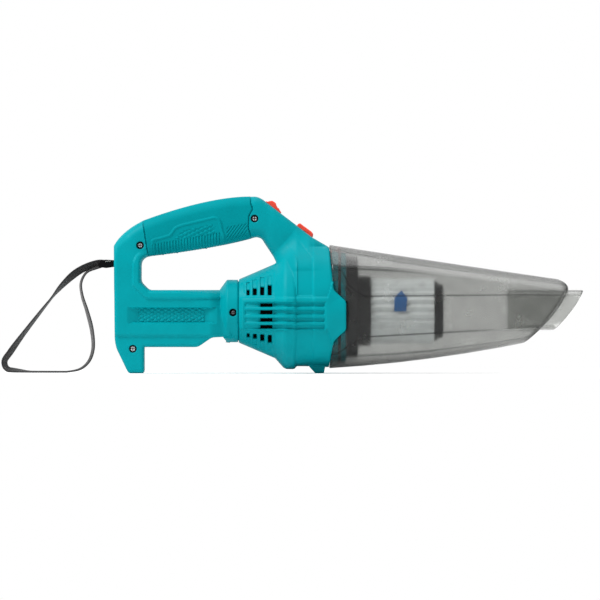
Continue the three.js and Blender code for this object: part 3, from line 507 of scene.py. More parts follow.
@dataclass(frozen=True)
class Pressed:
    """Felted filter paper: short fibres, slightly soiled.

    Attributes:
        name: Material's name.
        colour: Linear colour of the clean paper.
        soil: Linear colour of the dust in it.
    """

    name: str
    colour: tuple[float, ...]
    soil: tuple[float, ...]

    def build(self) -> bpy.types.Material:
        """Fine fibres from two crossed noises, and soil from a coarse one."""
        s = Shader(self.name)
        s.wire(s.between(s.noise(9.0, 5.0), self.colour, self.soil, 0.45, 0.8), s.body.inputs["Base Color"])
        s.set(Roughness=0.95, Specular_IOR_Level=0.1)
        s.bump((s.noise(0.5, 3.0, (0.3, 1.0, 1.0)), 0.05), (s.noise(0.5, 3.0, (1.0, 1.0, 0.3)), 0.04))
        return s.material


@dataclass(frozen=True)
class Woven:
    """Webbing: a plain weave that follows the strap's own UV map, u along and v across, in millimetres.

    Attributes:
        name: Material's name.
        dark: Colour between the threads, a painted shade.
        light: Colour on top of the threads, a painted highlight.
        pitch: Width of one thread, mm.
    """

    name: str
    dark: tuple[float, ...]
    light: tuple[float, ...]
    pitch: float = 0.9

    def build(self) -> bpy.types.Material:
        """Two sine waves at right angles, multiplied, raise the threads and paint their tops lighter and the gaps
        darker, as highlight and shade.
        """
        s = Shader(self.name)
        place = s.add("ShaderNodeUVMap", {"uv_map": "along"}).outputs["UV"]
        waves = []
        for direction in ("X", "Y"):
            wave = s.add("ShaderNodeTexWave", {"bands_direction": direction}, Scale=0.314 / self.pitch,
                         Distortion=0.6, Detail=1.0)
            s.wire(place, wave.inputs["Vector"])
            waves.append(wave.outputs["Fac"])
        both = s.add("ShaderNodeMath", {"operation": "MULTIPLY"})
        s.wire(waves[0], both.inputs[0])
        s.wire(waves[1], both.inputs[1])
        # painted shade between the threads and painted highlight on their tops, from the same height as the bump
        s.wire(s.between(both.outputs["Value"], self.dark, self.light, 0.1, 0.8), s.body.inputs["Base Color"])
        s.set(Roughness=0.85, Specular_IOR_Level=0.25, Sheen_Weight=0.35, Sheen_Roughness=0.5)
        s.bump((both.outputs["Value"], 0.18), (s.noise(0.3), 0.04))
        return s.material


TEAL = scaled(linear(0, 158, 168), 0.92)
FINISHES = {
    "housing_plastic": Moulded("teal_moulded_plastic", TEAL),
    "grip_overmould": Moulded("teal_grip_rubber", scaled(TEAL, 0.86), roughness=0.62, grain=0.5,
                              relief=0.03, edge_highlight=0.05, gloss=0.03),
    "red_plastic": Moulded("red_moulded_plastic", linear(255, 84, 66), roughness=0.35, edge_highlight=0.1),
    "smoked_plastic": Smoked("smoked_clear_plastic", linear(198, 199, 197)),
    "black_plastic": Moulded("black_moulded_plastic", linear(24, 25, 26), roughness=0.5, edge_highlight=0.2),
    "magnet": Metal("sintered_magnet", linear(70, 70, 74), roughness=0.55, lines=(1, 1, 1)),
    "steel": Metal("plated_steel", linear(205, 208, 210)),
    "copper": Metal("copper_winding", linear(205, 120, 70), roughness=0.35, lines=(0.1, 1.0, 1.0)),
    "seal_rubber": Moulded("seal_rubber", linear(24, 24, 25), roughness=0.75, grain=0.6, relief=0.03,
                           edge_highlight=0.1, gloss=0.25),
    "filter_media": Pressed("pleated_filter_paper", linear(236, 240, 241), linear(212, 216, 215)),
    "webbing": Woven("black_webbing", linear(14, 13, 14), linear(50, 48, 49)),
    "red_lead": Moulded("red_lead", linear(190, 40, 32), roughness=0.5, grain=1.0),
    "black_lead": Moulded("black_lead", linear(28, 28, 30), roughness=0.5, grain=1.0),
}
EXTRAS = {
    "clear_tube": Smoked("clear_intake_plastic", linear(214, 215, 213), roughness=0.24),
    # painted shade: near black for the sleeve that darkens the inside of the vents
    "vent_shade_sleeve": Moulded("black_vent_shade", linear(10, 10, 11), roughness=0.95, grain=0.9, relief=0.3, edge_highlight=0.0,
                            gloss=0.0),
    "arrow_mark": Moulded("blue_print", linear(44, 104, 168), roughness=0.4, relief=0.004, edge_highlight=0.0),
    "stitch_thread": Moulded("pale_thread", linear(196, 192, 186), roughness=0.9, grain=0.3, relief=0.05,
                             edge_highlight=0.0),
    "keeper": Moulded("black_sewn_webbing", linear(18, 17, 18), roughness=0.95, grain=0.35, relief=0.12,
                      edge_highlight=0.1,
                      gloss=0.05),
    # painted shade: the housing's teal at 0.4, for the spigot that sits in shadow inside the cup
    "spigot_plastic": Moulded("deep_teal_plastic", scaled(TEAL, 0.4), roughness=0.5),
    # painted shade: teal darkened to near black for the walls inside the screw counterbores
    "dark_well": Moulded("shaded_teal_plastic", linear(0, 22, 26), roughness=0.6, edge_highlight=0.0, gloss=0.1),
}


class Paint:
    """Makes each finish once and puts it on pieces."""

    def __init__(self) -> None:
        """Builds every material."""
        self.made = {key: finish.build() for key, finish in {**FINISHES, **EXTRAS}.items()}

    def on(self, piece: bpy.types.Object, finish: str) -> bpy.types.Object:
        """Gives the piece that finish alone."""
        piece.data.materials.clear()
        piece.data.materials.append(self.made[finish])
        return piece


# ------------------------------------------------------------------ cup's section
@dataclass(frozen=True)
class CupForm:
    """Lines that the cup and the housing's front share.

    Attributes:
        length: Mouth to the top of the slanted face.
        mouth: Height of the top and bottom lines and half width at the mouth.
        nose: The same at the slanted face.
        top_bow, bottom_bow: Sag of the two lines between mouth and nose.
        stations: Evenly spaced stations, straight between them.
    """

    length: float = 236.4
    mouth: tuple[float, float, float] = (126.0, 7.0, 51.0)
    nose: tuple[float, float, float] = (90.5, 41.2, 29.0)
    top_bow: float = 1.5
    bottom_bow: float = 20.4
    stations: int = 8

    def lines(self, x: Array) -> tuple[Array, Array, Array]:
        """Height of the top and bottom lines and half width at x."""
        t = np.linspace(0.0, 1.0, self.stations)
        sag = t * (1 - t)
        at = t * self.length
        columns = [self.mouth[k] + (self.nose[k] - self.mouth[k]) * t for k in range(3)]
        columns[0] = columns[0] - self.top_bow * sag
        columns[1] = columns[1] - self.bottom_bow * sag
        past = np.clip(x, None, self.length)
        top, bottom, half = (np.interp(past, at, c) for c in columns)
        return top, bottom, half

    def half_width(self, x: Array, z: Array) -> Array:
        """Half width of the superellipse section at height z, 0 above and below it."""
        top, bottom, half = self.lines(x)
        v = np.clip(np.abs(2 * z - top - bottom) / (top - bottom), 0.0, 1.0)
        return half * (1 - v**SQUARENESS) ** (1 / SQUARENESS)

    def ring(self, x: Array, angle: Array, inset: Array | float = 0.0) -> tuple[Array, Array]:
        """(y, z) of the superellipse at x, moved inwards by inset. Angle 0 is the top."""
        top, bottom, half = self.lines(x)
        u, v = np.sin(angle), np.cos(angle)
        out, height = stretch(u, v, SQUARENESS), (top - bottom) / 2 - inset
        return u * out * (half - inset), (top + bottom) / 2 + v * out * height


CUP_FORM = CupForm()
MOUTH_LINE = [(0.0, 7.0), (4.5, 32.0), (17.0, 43.5), (17.0, 71.5), (4.5, 83.0), (0.0, 126.0)]


# ------------------------------------------------------------------ relief shells
@dataclass
class Pocket:
    """A hollow in the edge of a shell, across the middle plane.

    Attributes:
        where: True for edge points in its range, given x and z.
        half: Half width.
        push: Displacement of its floor in the side view.
    """

    where: Field
    half: float
    push: tuple[float, float]


@dataclass
class ReliefShell:
    """Half of a moulded shell, as its half width over a grid in the side view.

    The grid keeps the cells whose middle is inside keep, and its edge points are moved onto the edge by
    one Newton step along the distance's gradient. From edges that are silhouette, rows of points go
    down to the parting plane.

    Attributes:
        name: Name of the piece, where {} stands for the side.
        area: x0, x1, z0, z1.
        pitch: Size of a cell.
        height: Half width at (x, z).
        silhouette: Distance inside the outline, where a skirt is wanted.
        openings: Distance from openings and free edges, where none is.
        creases: Distances whose zero line the mesh follows.
        pockets: Hollows in the skirt.
        wall: Thickness of the shell.
        sharp: Angle of sharp edges.
    """

    name: str
    area: tuple[float, float, float, float]
    pitch: float
    height: Field
    silhouette: Field
    openings: Field | None = None
    creases: Sequence[Field] = ()
    pockets: Sequence[Pocket] = ()
    wall: float = 2.2
    sharp: float = 38.0

    def distance(self, x: Array, z: Array) -> Array:
        """Distance inside the silhouette and clear of the openings, whichever is less."""
        inner = self.silhouette(x, z)
        return inner if self.openings is None else np.minimum(inner, self.openings(x, z))

    @staticmethod
    def settle(x: Array, z: Array, distance: Field, rounds: int = 2) -> tuple[Array, Array]:
        """Moves points onto the zero line of a distance: p - d * gradient(d), a few times."""
        step = 0.05
        for _ in range(rounds):
            d = distance(x, z)
            gx = (distance(x + step, z) - distance(x - step, z)) / (2 * step)
            gz = (distance(x, z + step) - distance(x, z - step)) / (2 * step)
            size = np.maximum(gx * gx + gz * gz, 0.25)
            move = np.clip(d / size, -1.0, 1.0)
            x, z = x - move * gx, z - move * gz
        return x, z

    def build(self, side: Side) -> bpy.types.Object:
        """Makes the shell's mesh for one side.

        Args:
            side: Which half.

        Returns:
            The new object, with its wall.
        """
        x0, x1, z0, z1 = self.area
        xs, zs = np.arange(x0, x1 + self.pitch, self.pitch), np.arange(z0, z1 + self.pitch, self.pitch)
        gx, gz = np.meshgrid(xs, zs, indexing="ij")
        centre = self.distance(gx[:-1, :-1] + self.pitch / 2, gz[:-1, :-1] + self.pitch / 2)
        cells = np.argwhere(centre > 0)
        columns = len(zs)
        first = cells[:, 0] * columns + cells[:, 1]
        quads = np.stack([first, first + columns, first + columns + 1, first + 1], axis=1)
        used, quads = np.unique(quads, return_inverse=True)
        quads = quads.reshape(-1, 4)
        x, z = gx.ravel()[used], gz.ravel()[used]
        x, z, edge = self.follow_edges(x, z, quads)
        points, faces = self.with_skirt(x, z, quads, edge)
        points[:, 1] *= side.value
        if side is Side.LEFT:
            faces = faces[:, ::-1]
        return thicken(add_mesh(self.name.format(side.name.lower()), points, [faces], self.sharp), self.wall)

    def pair(self) -> list[bpy.types.Object]:
        """Makes the right and the left half."""
        return [self.build(side) for side in Side]

    def follow_edges(self, x: Array, z: Array, quads: Array) -> tuple[Array, Array, Array]:
        """Moves points onto the shell's edge and onto its creases.

        Returns:
            x, z and the directed edges (n, 2) that only one quad has.
        """
        ends = np.stack([quads, np.roll(quads, -1, axis=1)], axis=-1).reshape(-1, 2)
        count = len(x)
        key, back = ends[:, 0] * count + ends[:, 1], ends[:, 1] * count + ends[:, 0]
        edge = ends[~np.isin(key, back)]
        rim = np.unique(edge)
        x, z = x.copy(), z.copy()
        inner = np.ones(count, bool)
        inner[rim] = False
        x[rim], z[rim] = self.settle(x[rim], z[rim], self.distance, 3)
        for crease in self.creases:
            d = crease(x, z)
            near = inner & (np.abs(d) < 0.48 * self.pitch)
            x[near], z[near] = self.settle(x[near], z[near], crease, 1)
            inner &= ~near
        return x, z, edge

    def with_skirt(self, x: Array, z: Array, quads: Array, edge: Array) -> tuple[Array, Array]:
        """Adds rows from the silhouette's edge down to the parting plane.

        Returns:
            Points (n, 3) with y as positive half width, and all quads.
        """
        height = self.height(x, z)
        points = np.stack([x, height, z], axis=1)
        if self.openings is not None:
            solid = self.silhouette(x, z) <= self.openings(x, z) + 0.02
            edge = edge[solid[edge].all(axis=1)]
        if not len(edge):
            return points, quads
        rim = np.unique(edge)
        number = np.full(len(x), -1)
        number[rim] = np.arange(len(rim))
        rx, rz, rh = x[rim], z[rim], height[rim]
        floor = np.minimum(0.5 * GAP, rh)
        half, push = np.full(len(rim), SKIRT_HALF), np.zeros((len(rim), 2))
        for pocket in self.pockets:
            here = pocket.where(rx, rz)
            half[here], push[here] = pocket.half, pocket.push
        half = np.minimum(half, rh * SKIRT_SHARE)
        levels = (((rh + half) / 2, 0.0), (half * 1.03, 0.0), (half, 1.0), (half / 2, 1.0), (floor, 1.0))
        skirt = [np.stack([rx + k * push[:, 0], np.minimum(y, rh), rz + k * push[:, 1]], axis=1)
                 for y, k in levels]
        below = [len(x) + k * len(rim) + number for k in range(len(levels))]
        tops, ends = ([edge[:, k], *(numbers[edge[:, k]] for numbers in below)] for k in (0, 1))
        walls = [np.stack([ends[k], tops[k], tops[k + 1], ends[k + 1]], axis=1) for k in range(len(levels))]
        return np.concatenate([points, *skirt]), np.concatenate([quads, *walls])


# ------------------------------------------------------------------ housing
@dataclass
class Housing:
    """The two housing halves and what is moulded on them.

    Attributes:
        rear: Rear wall.
        bar_half, grip_half: Half width of the lower bar with its column and foot, and of the handle.
        bar_edge, grip_edge: Radius of their edges.
        squash: The motor section is this much narrower than it is high.
        profile: x and radius of the motor section.
        strip: Bottom and top of the side strip, and how far it stands out.
        panel: x0, x1, z0, z1 and depth of the recess in the bar's side.
        grille: x0, x1, z0, z1 of the strip's ribbed inset.
        slope: Start of the front slope and its angle.
        screws: x, z of each counterbore, half width of the housing there and depth of the head in it.
        well: Radius of the counterbores.
        pitch: Size of a cell.
        vents: x0 and x1 of each slot, its two heights, and where the groove round it ends.
        outlines: Outlines in the side view, by name.
    """

    rear: float = -216.0
    bar_half: float = 27.0
    grip_half: float = 18.0
    bar_edge: float = 3.6
    grip_edge: float = 10.0
    squash: float = 0.93
    profile: tuple[tuple[float, float], ...] = (
        (-110.0, 20.0), (-108.0, 23.0), (-102.4, 30.6), (-101.6, 31.2), (-91.3, 31.2), (-90.8, 29.4),
        (-90.3, 29.4), (-89.8, 31.8), (-54.0, 47.2), (-45.5, 56.6), (-42.5, 58.1), (-36.0, 58.2),
        (-34.2, 57.6), (-32.2, 55.2), (-17.0, 55.2), (-14.5, 56.0), (20.0, 56.0))
    strip: tuple[float, float, float] = (42.0, 76.5, 2.2)
    panel: tuple[float, float, float, float, float] = (-201.7, -112.0, 49.5, 65.8, 4.3)
    grille: tuple[float, float, float, float] = (-85.0, -3.0, 43.0, 71.0)
    slope: tuple[float, float, float] = (-67.0, 173.8, 37.3)
    screws: tuple[tuple[float, float, float, float], ...] = (
        (-188.7, 127.6, 18.0, 4.2), (-74.4, 154.3, 18.0, 4.2), (-95.8, 60.5, 28.8, 9.0),
        (-195.8, 24.3, 27.0, 5.0))
    well: float = 3.9
    pitch: float = 0.85
    vents: tuple[tuple[float, float, float, float, float], ...] = (
        (-82.0, -79.4, 77.7, 83.4, 90.0), (-75.8, -72.2, 77.7, 84.8, 93.0), (-68.4, -64.8, 77.7, 86.3, 95.0),
        (-61.0, -57.3, 77.7, 88.0, 96.5), (-82.0, -79.4, 39.6, 35.5, 31.0), (-75.8, -72.2, 39.0, 34.0, 28.5),
        (-68.4, -64.8, 38.6, 31.7, 25.5), (-61.0, -57.3, 38.0, 30.0, 23.0))
    outlines: dict[str, Array] = field(default_factory=dict)

    def __post_init__(self) -> None:
        """Works out the outlines in the side view."""
        angle = math.radians(self.slope[2])
        self.down = np.array([math.cos(angle), -math.sin(angle)])
        self.off = np.array([math.sin(angle), math.cos(angle)])
        r = self.rear
        self.outlines["bar"] = rounded([
            (r + 2.0, 33, 4), (r + 3.6, 25, 3), (r + 15.6, 0, 2.5), (r + 31.5, 0, 2.5), (r + 31.5, 26, 1.2),
            (-131, 26, 3), (-117, 35.6, 3), (-97, 36.5), (-97, 83), (-179.5, 83, 3), (-187.5, 91, 3),
            (-187.5, 107, 3), (-196.5, 122, 6), (r + 6, 133, 4), (r + 1.1, 126, 4)])
        self.outlines["handle"] = np.concatenate([
            [(r + 1.4, 83), (r + 1.1, 126)], bezier([(r + 1.1, 127), (r + 8, 141), (-186.5, 152)], 8),
            bezier([(-186.5, 152), (-151.5, 165.2), (-110, 176.3), (-80, 176.3)], 24)[1:],
            bezier([(-74, 176.3), (-70.5, 176.2), (-66, 173.2)], 5),
            [tuple(self.on_slope(63.6)), (-1, 126.4), (-1, 82), (-50, 82), (-53.2, 111)],
            bezier([(-53.2, 111.5), (-54.5, 114), (-56, 117)], 3), [(-64, 129)],
            bezier([(-65.5, 131.5), (-67.5, 135.6), (-73, 135.7)], 6),
            bezier([(-74, 135.6), (-110, 125), (-177, 117)], 24),
            bezier([(-178, 116.9), (-187.5, 115.5), (-187.5, 107)], 8), [(-187.5, 91)],
            bezier([(-187.5, 90), (-186.5, 84), (-179.5, 83)], 6)])
        self.outlines["foot"] = rounded([(-20, 10), (-19.4, 6), (-14, 0, 1.2), (-5, 0, 1.2), (-4, 6),
                                         (-4, 10)])
        self.outlines["behind"] = rounded([
            (-300, -13), (-1, -13), (0, 7), (4.5, 32, 3), (17, 43.5, 2.5), (17, 71.5, 2.5), (4.5, 83, 3),
            (0, 126), (-1, 146), (-1, 220), (-300, 220)])
        self.outlines["opening"] = rounded([
            (-179.5, 83), (-111, 83, 2), (-102, 92.4, 2), (-91, 92.4), (-53.5, 110), (-64, 129, 2),
            (-69, 136, 3),
            (-110, 127.5), (-187.5, 116, 12), (-187.5, 91)])
        self.outlines["pad"] = rounded([
            (-186.5, 155), (-180.0, 112), (-120, 112), (-77, 134), (-80.5, 145, 2), (-80, 157, 2),
            (-76, 164, 2),
            (-78, 169), (-78.5, 180), (-150, 182)])
        self.outlines["band"] = rounded([
            (-49, 137), (-37.5, 143), (-16, 116, 3), (-16, 77), (-32, 77), (-32, 114, 4)])
        self.outlines["upper_vents"] = rounded([(-85, 80, 1.5), (-85, 88.5, 1.5), (-56, 101.5, 2),
                                                (-54.5, 80, 1.5)])
        self.outlines["lower_vents"] = rounded([(-85, 39, 1.5), (-54.5, 39, 1.5), (-56, 19, 2),
                                                (-85, 34, 1.5)])

    def on_slope(self, down: float, above: float = 0.0) -> Array:
        """A point of the front slope in the side view: distance down it and height above it."""
        return np.array(self.slope[:2]) + down * self.down + above * self.off

    # -- distances in the side view
    def radius(self, x: Array) -> Array:
        """Radius of the motor section."""
        at, size = np.array(self.profile).T
        return np.interp(x, at, size)

    def motor_inside(self, x: Array, z: Array) -> Array:
        """Distance inside the motor section's outline, from its radius and its ends."""
        return np.minimum(self.radius(x) - np.abs(z - AXIS), x + 109.0)

    def front_inside(self, x: Array, z: Array) -> Array:
        """Distance inside the band that follows the cup's section, behind the mouth."""
        top, bottom, _ = CUP_FORM.lines(x)
        return np.minimum(np.minimum(top - z, z - bottom), x + 30.0)

    def silhouette(self, x: Array, z: Array) -> Array:
        """Distance inside the union of bar, handle, motor section, front band and front foot."""
        parts = [inside(x, z, self.outlines[k]) for k in ("bar", "handle", "foot")]
        return np.maximum.reduce([*parts, self.motor_inside(x, z), self.front_inside(x, z)])

    def behind_mouth(self, x: Array, z: Array) -> Array:
        """Distance behind the edge that meets the cup."""
        return inside(x, z, self.outlines["behind"])

    def openings(self, x: Array, z: Array, screws: bool = True) -> Array:
        """Distance from the mouth's edge, the vents, the grille's hole and the counterbores."""
        clear = self.behind_mouth(x, z)
        for x0, x1, za, zb, _ in self.vents:
            clear = np.minimum(clear, -box_inside(x, z, x0, x1, min(za, zb), max(za, zb)))
        clear = np.minimum(clear, -box_inside(x, z, *self.grille))
        if screws:
            for sx, sz, *_ in self.screws:
                clear = np.minimum(clear, np.hypot(x - sx, z - sz) - self.well)
        return clear

    # -- half widths
    @staticmethod
    def plate_height(inner: Array, half: Array | float, edge: Array | float) -> Array:
        """Half width of a plate with rounded edges: half - edge + sqrt(edge^2 - (edge - d)^2).

        It holds its edge's height for a margin outside, and then falls four times as fast as it goes out.
        """
        margin, fall, least = 1.5, 4.0, -50.0
        d = np.clip(inner, 0.0, edge)
        made = half - edge + np.sqrt(np.clip(edge * edge - (edge - d) ** 2, 0.0, None))
        outside = np.clip(half - edge + (inner + margin) * fall, least, None)
        return np.where(inner > -margin, made, outside)

    def base_height(self, x: Array, z: Array) -> Array:
        """Half width before the relief: the parts' own heights with fillets between them."""
        bar = inside(x, z, self.outlines["bar"])
        handle = inside(x, z, self.outlines["handle"])
        inner = np.maximum(bar, handle)
        grip = ramp((z - 118.0) + 0.6 * (x + 200.0), -9.0, 21.0)
        grip = np.maximum(grip, ramp(x, -100.0, -90.0) * (z > 90.0))
        half = self.bar_half + (self.grip_half - 1.0 - self.bar_half) * grip
        half = half - 5.0 * ramp(x, -120.0, -104.0) * (z < 90)
        edge = self.bar_edge + (self.grip_edge - self.bar_edge) * grip
        plates = self.plate_height(inner, half, edge) + grip * (1 - np.exp(-np.clip(inner, 0, None) / 9.0))
        r = self.radius(x)
        motor = self.squash * np.sqrt(np.clip(r * r - (z - AXIS) ** 2, 0.0, None))
        motor = motor - 4.0 * np.clip(-108.0 - x, 0.0, None)
        front = CUP_FORM.half_width(np.clip(x, 0.0, None), z) + 0.8
        roof = 44.7 - 44.8 * ramp(z, 102.0, 150.0)
        front = np.where(z > 102.0, front + ramp(-x, 2.0, 22.0) * (roof - front), front)
        behind = np.clip(-31.0 - x, 0.0, None)
        front = front - 1.0 * ramp(-x, 15.0, 16.4) - 1.5 * (np.sqrt(behind * behind + 20.0) - 20.0**0.5)
        body = np.maximum(motor, front)
        made = smooth_max(plates, body, 2.0)
        high = ramp(z, 92.0, 104.0) * ramp(x, -62.0, -54.0)
        made = made + high * (smooth_max(plates, body, 24.0) - made)
        foot = self.plate_height(inside(x, z, self.outlines["foot"]), 14.0, 1.0)
        return np.maximum(made, foot)

    def relief(self, x: Array, z: Array) -> Array:
        """What is raised above the base, or sunk in it."""
        opening = -inside(x, z, self.outlines["opening"])
        low_side = ramp(-z, -122.0, -117.0) * ramp(-x, 103.0, 112.0)
        rim = 2.4 * ramp(opening, -0.5, 3.4) - 0.6 - 1.8 * ramp(opening, 7.8, 9.4)
        made = rim * low_side * (z > 66.0)
        x0, x1, z0, z1, depth = self.panel
        sunk = np.minimum.reduce([(x - x0) / 10.7, (x1 - x) / 12.0, (z - z0) / 1.5, (z1 - z) / 1.5])
        made = made - depth * np.clip(sunk, 0.0, 1.0)
        ledge = ramp(-z, -38.6, -36.4) * ramp(-x, 112.0, 120.0)
        made = made - 1.8 * ledge
        strip = np.minimum(np.minimum(z - self.strip[0], self.strip[1] - z), x + 89.0)
        front = ramp(x, -2.0, 4.0)
        strip = strip + 16.0 * front
        made = made + self.strip[2] * ramp(strip, 0.0, 2.2) * (x > -90.0)
        fade = np.clip((142.0 - z + 0.52 * (x + 37.5)) / 26.0, 0.0, 1.0)
        made = made - 1.2 * fade * ramp(inside(x, z, self.outlines["band"]), 0.0, 1.2)
        for x0, x1, za, zb, end in self.vents:
            groove = box_inside(x, z, x0, x1, min(za, end), max(za, end)) + 0.8
            made = made - 1.5 * ramp(groove, 0.0, 0.9)
        for name in ("upper_vents", "lower_vents"):
            made = made - 0.9 * ramp(inside(x, z, self.outlines[name]), -0.5, 0.8)
        made = made - 1.7 * ramp(inside(x, z, self.outlines["pad"]), -0.6, 0.0)
        rim_front = self.behind_mouth(x, z)
        made = made - 1.0 * (1 - ramp(rim_front, 0.0, 1.6))
        return made

    def height(self, x: Array, z: Array) -> Array:
        """Half width with its relief, and never less than the least."""
        return np.maximum(self.base_height(x, z) + self.relief(x, z), LEAST_HEIGHT)

    def pockets(self) -> list[Pocket]:
        """The battery dock, the strap's slot, the switch's deck and the latch button's hole."""

        def on_slope(start: float, end: float) -> Field:
            def here(x: Array, z: Array) -> Array:
                dx, dz = x - self.slope[0], z - self.slope[1]
                down = dx * self.down[0] + dz * self.down[1]
                above = dx * self.off[0] + dz * self.off[1]
                return (np.abs(above) < SLOPE_NEAR) & (down > start) & (down < end)

            return here

        return [
            Pocket(lambda x, z: (z < 27.5) & (x > -182.5) & (x < -133.0), 20.0, (0.0, 9.0)),
            Pocket(lambda x, z: (x < -214.0) & (np.abs(z - 109.5) < 3.5), 6.0, (9.0, 0.0)),
            Pocket(on_slope(3.2, 31.0), 7.0, tuple(-1.6 * self.off)),
            Pocket(on_slope(43.5, 63.9), 7.3, tuple(-8.0 * self.off)),
        ]

    def shells(self) -> list[bpy.types.Object]:
        """Both housing halves. The left one has no counterbores."""
        creases: list[Field] = [
            lambda x, z: inside(x, z, self.outlines["pad"]),
            lambda x, z: inside(x, z, self.outlines["band"]),
            lambda x, z: (-inside(x, z, self.outlines["opening"]) - 9.2) + 40.0 * (z > 112),
            lambda x, z: box_inside(x, z, *self.panel[:4]),
            lambda x, z: np.where(x > -91, np.minimum(z - self.strip[0], self.strip[1] - z), 9.0),
            lambda x, z: inside(x, z, self.outlines["bar"]),
        ]
        area = (self.rear - 1, 18.5, -1.0, 178.0)
        return [ReliefShell("housing_shell_{}", area, self.pitch, self.height, self.silhouette,
                            lambda x, z, screws=side is Side.RIGHT: self.openings(x, z, screws), creases,
                            self.pockets()).build(side) for side in Side]

    # -- grip pads
    def pad_height(self, x: Array, z: Array) -> Array:
        """Half width of the grip pad: the handle's, with ribs, hatching, diamonds and the panel's outline."""
        made = self.base_height(x, z) + 0.1
        edge = inside(x, z, self.outlines["pad"])
        made = made - 0.9 * (1 - ramp(edge, 0.0, 1.1))
        panel = rounded([
            (-177.6, 133.3, 2), (-159.4, 138.3, 2), (-154.4, 145.7, 2), (-147.8, 148.6, 2), (-113, 156.8, 4),
            (-108, 153.2, 4), (-106.3, 143.3, 2), (-104, 137), (-104, 118), (-176, 112)])
        line = inside(x, z, panel)
        made = made + (1.1 * ramp(line, -0.8, 0.8) - 0.6 * ramp(line, 1.6, 3.0)) * ramp(edge, 0.0, 2.0)
        diamonds = inside(x, z, rounded([(-156.1, 132.5), (-146.1, 142.4), (-115.5, 149), (-113, 138.3)]))
        u, v = (x + 2.0 * z) / 4.1, (x - 2.0 * z) / 4.1
        studs = np.abs(np.sin(np.pi * u / 2)) * np.abs(np.sin(np.pi * v / 2))
        made = made + (1.1 * studs - 0.5) * ramp(diamonds, 0.0, 0.8)
        under = inside(x, z, self.outlines["handle"])
        along = (x + 176.0) / 2.9
        ribs = ramp(np.abs(np.sin(np.pi * along)), 0.25, 0.75)
        lower = ramp(-z + 0.18 * (x + 180.0) + 128.5, 0.0, 1.2)
        made = made - 1.0 * (1 - ribs) * lower * (x > -177.5) * (x < -109.0) * ramp(under, -1.0, 0.4)
        hatch = np.minimum.reduce([x + 102.5, -81.0 - x, z - 131.0 - 0.28 * (x + 103.0),
                                   150.5 - z + 0.2 * (x + 81)])
        lines = ramp(np.abs(np.sin(np.pi * (x - 0.75 * z) / 3.0)), 0.2, 0.7)
        return made - 0.8 * (1 - lines) * ramp(hatch, 0.0, 0.8)

    def pad_silhouette(self, x: Array, z: Array) -> Array:
        """Distance inside the handle's outline, with notches between the ribs underneath."""
        along = (x + 176.0) / 2.9
        notch = 0.55 * (1 - ramp(np.abs(np.sin(np.pi * along)), 0.25, 0.75)) * (x > -177.5) * (x < -109.0)
        return inside(x, z, self.outlines["handle"]) - notch * (z < 0.18 * (x + 180) + 130) + 0.1

    def pads(self) -> list[bpy.types.Object]:
        """The two grip pads, one each side."""
        return ReliefShell(
            "grip_pad_{}_look", (-188.0, -75.0, 112.0, 178.0), 0.5, self.pad_height, self.pad_silhouette,
            lambda x, z: inside(x, z, self.outlines["pad"]) - 0.45, wall=1.2, sharp=50.0).pair()

    # -- ribbed inset of the side strip
    def grille_height(self, x: Array, z: Array) -> Array:
        """Half width of the inset: four channels between rounded ribs, shallow behind and deep in front."""
        g0, g1, b, t = self.grille
        base = self.base_height(x, z) + self.strip[2] * ramp(x + 89.0, 0.0, 2.2)
        channels = ((66.4, 69.7), (58.6, 62.8), (51.3, 55.0), (44.0, 48.0))
        depth = np.zeros_like(x)
        for low, high in channels:
            across = np.minimum(z - low + 0.7, high + 0.7 - z)
            depth = np.maximum(depth, ramp(across, 0.0, 1.3))
        floor = np.interp(x, (-84, -71, -68, -56, -50, -40, -36, -4),
                          (1.1, 2.6, 4.5, 4.5, 4.2, 3.2, 2.4, 2.4))
        ends = ramp(np.minimum(x - g0 - 0.6, g1 - 1.0 - x), 0.0, 1.4)
        sink = 0.5 * ramp(np.minimum(x - g0, g1 - x), 0.3, 1.2)
        return base - floor * depth * ends - sink

    def grille_openings(self, x: Array, z: Array) -> Array:
        """Distance from the four slots that go through the inset."""
        clear = np.full_like(x, 50.0)
        for low, high in ((66.2, 69.3), (58.8, 62.6), (51.5, 54.8), (44.3, 47.8)):
            clear = np.minimum(clear, -box_inside(x, z, -68.5, -56.5, low, high))
        return clear

    def grilles(self) -> list[bpy.types.Object]:
        """The ribbed inset of each side strip."""
        return ReliefShell(
            "strip_grille_{}", self.grille, 0.5, self.grille_height, everywhere,
            lambda x, z: np.minimum(box_inside(x, z, *self.grille) - 0.05, self.grille_openings(x, z)),
            wall=2.0, sharp=50.0).pair()

    # -- textured floor of the bar's recess
    def bar_panels(self) -> list[bpy.types.Object]:
        """The diamond-textured floor of the recess in each side of the bar."""
        area = (-190.2, -124.8, 51.3, 64.0)
        top = self.bar_half - self.panel[4] + 0.12

        def height(x: Array, z: Array) -> Array:
            u, v = (x + 1.55 * z) / 3.4, (x - 1.55 * z) / 3.4
            studs = np.minimum(np.abs(np.sin(np.pi * u / 2)), np.abs(np.sin(np.pi * v / 2)))
            return top + 0.9 * ramp(studs, 0.1, 0.75)

        return ReliefShell("bar_panel_{}", area, 0.5, height, everywhere,
                           lambda x, z: box_inside(x, z, *area), wall=0.8, sharp=60.0).pair()

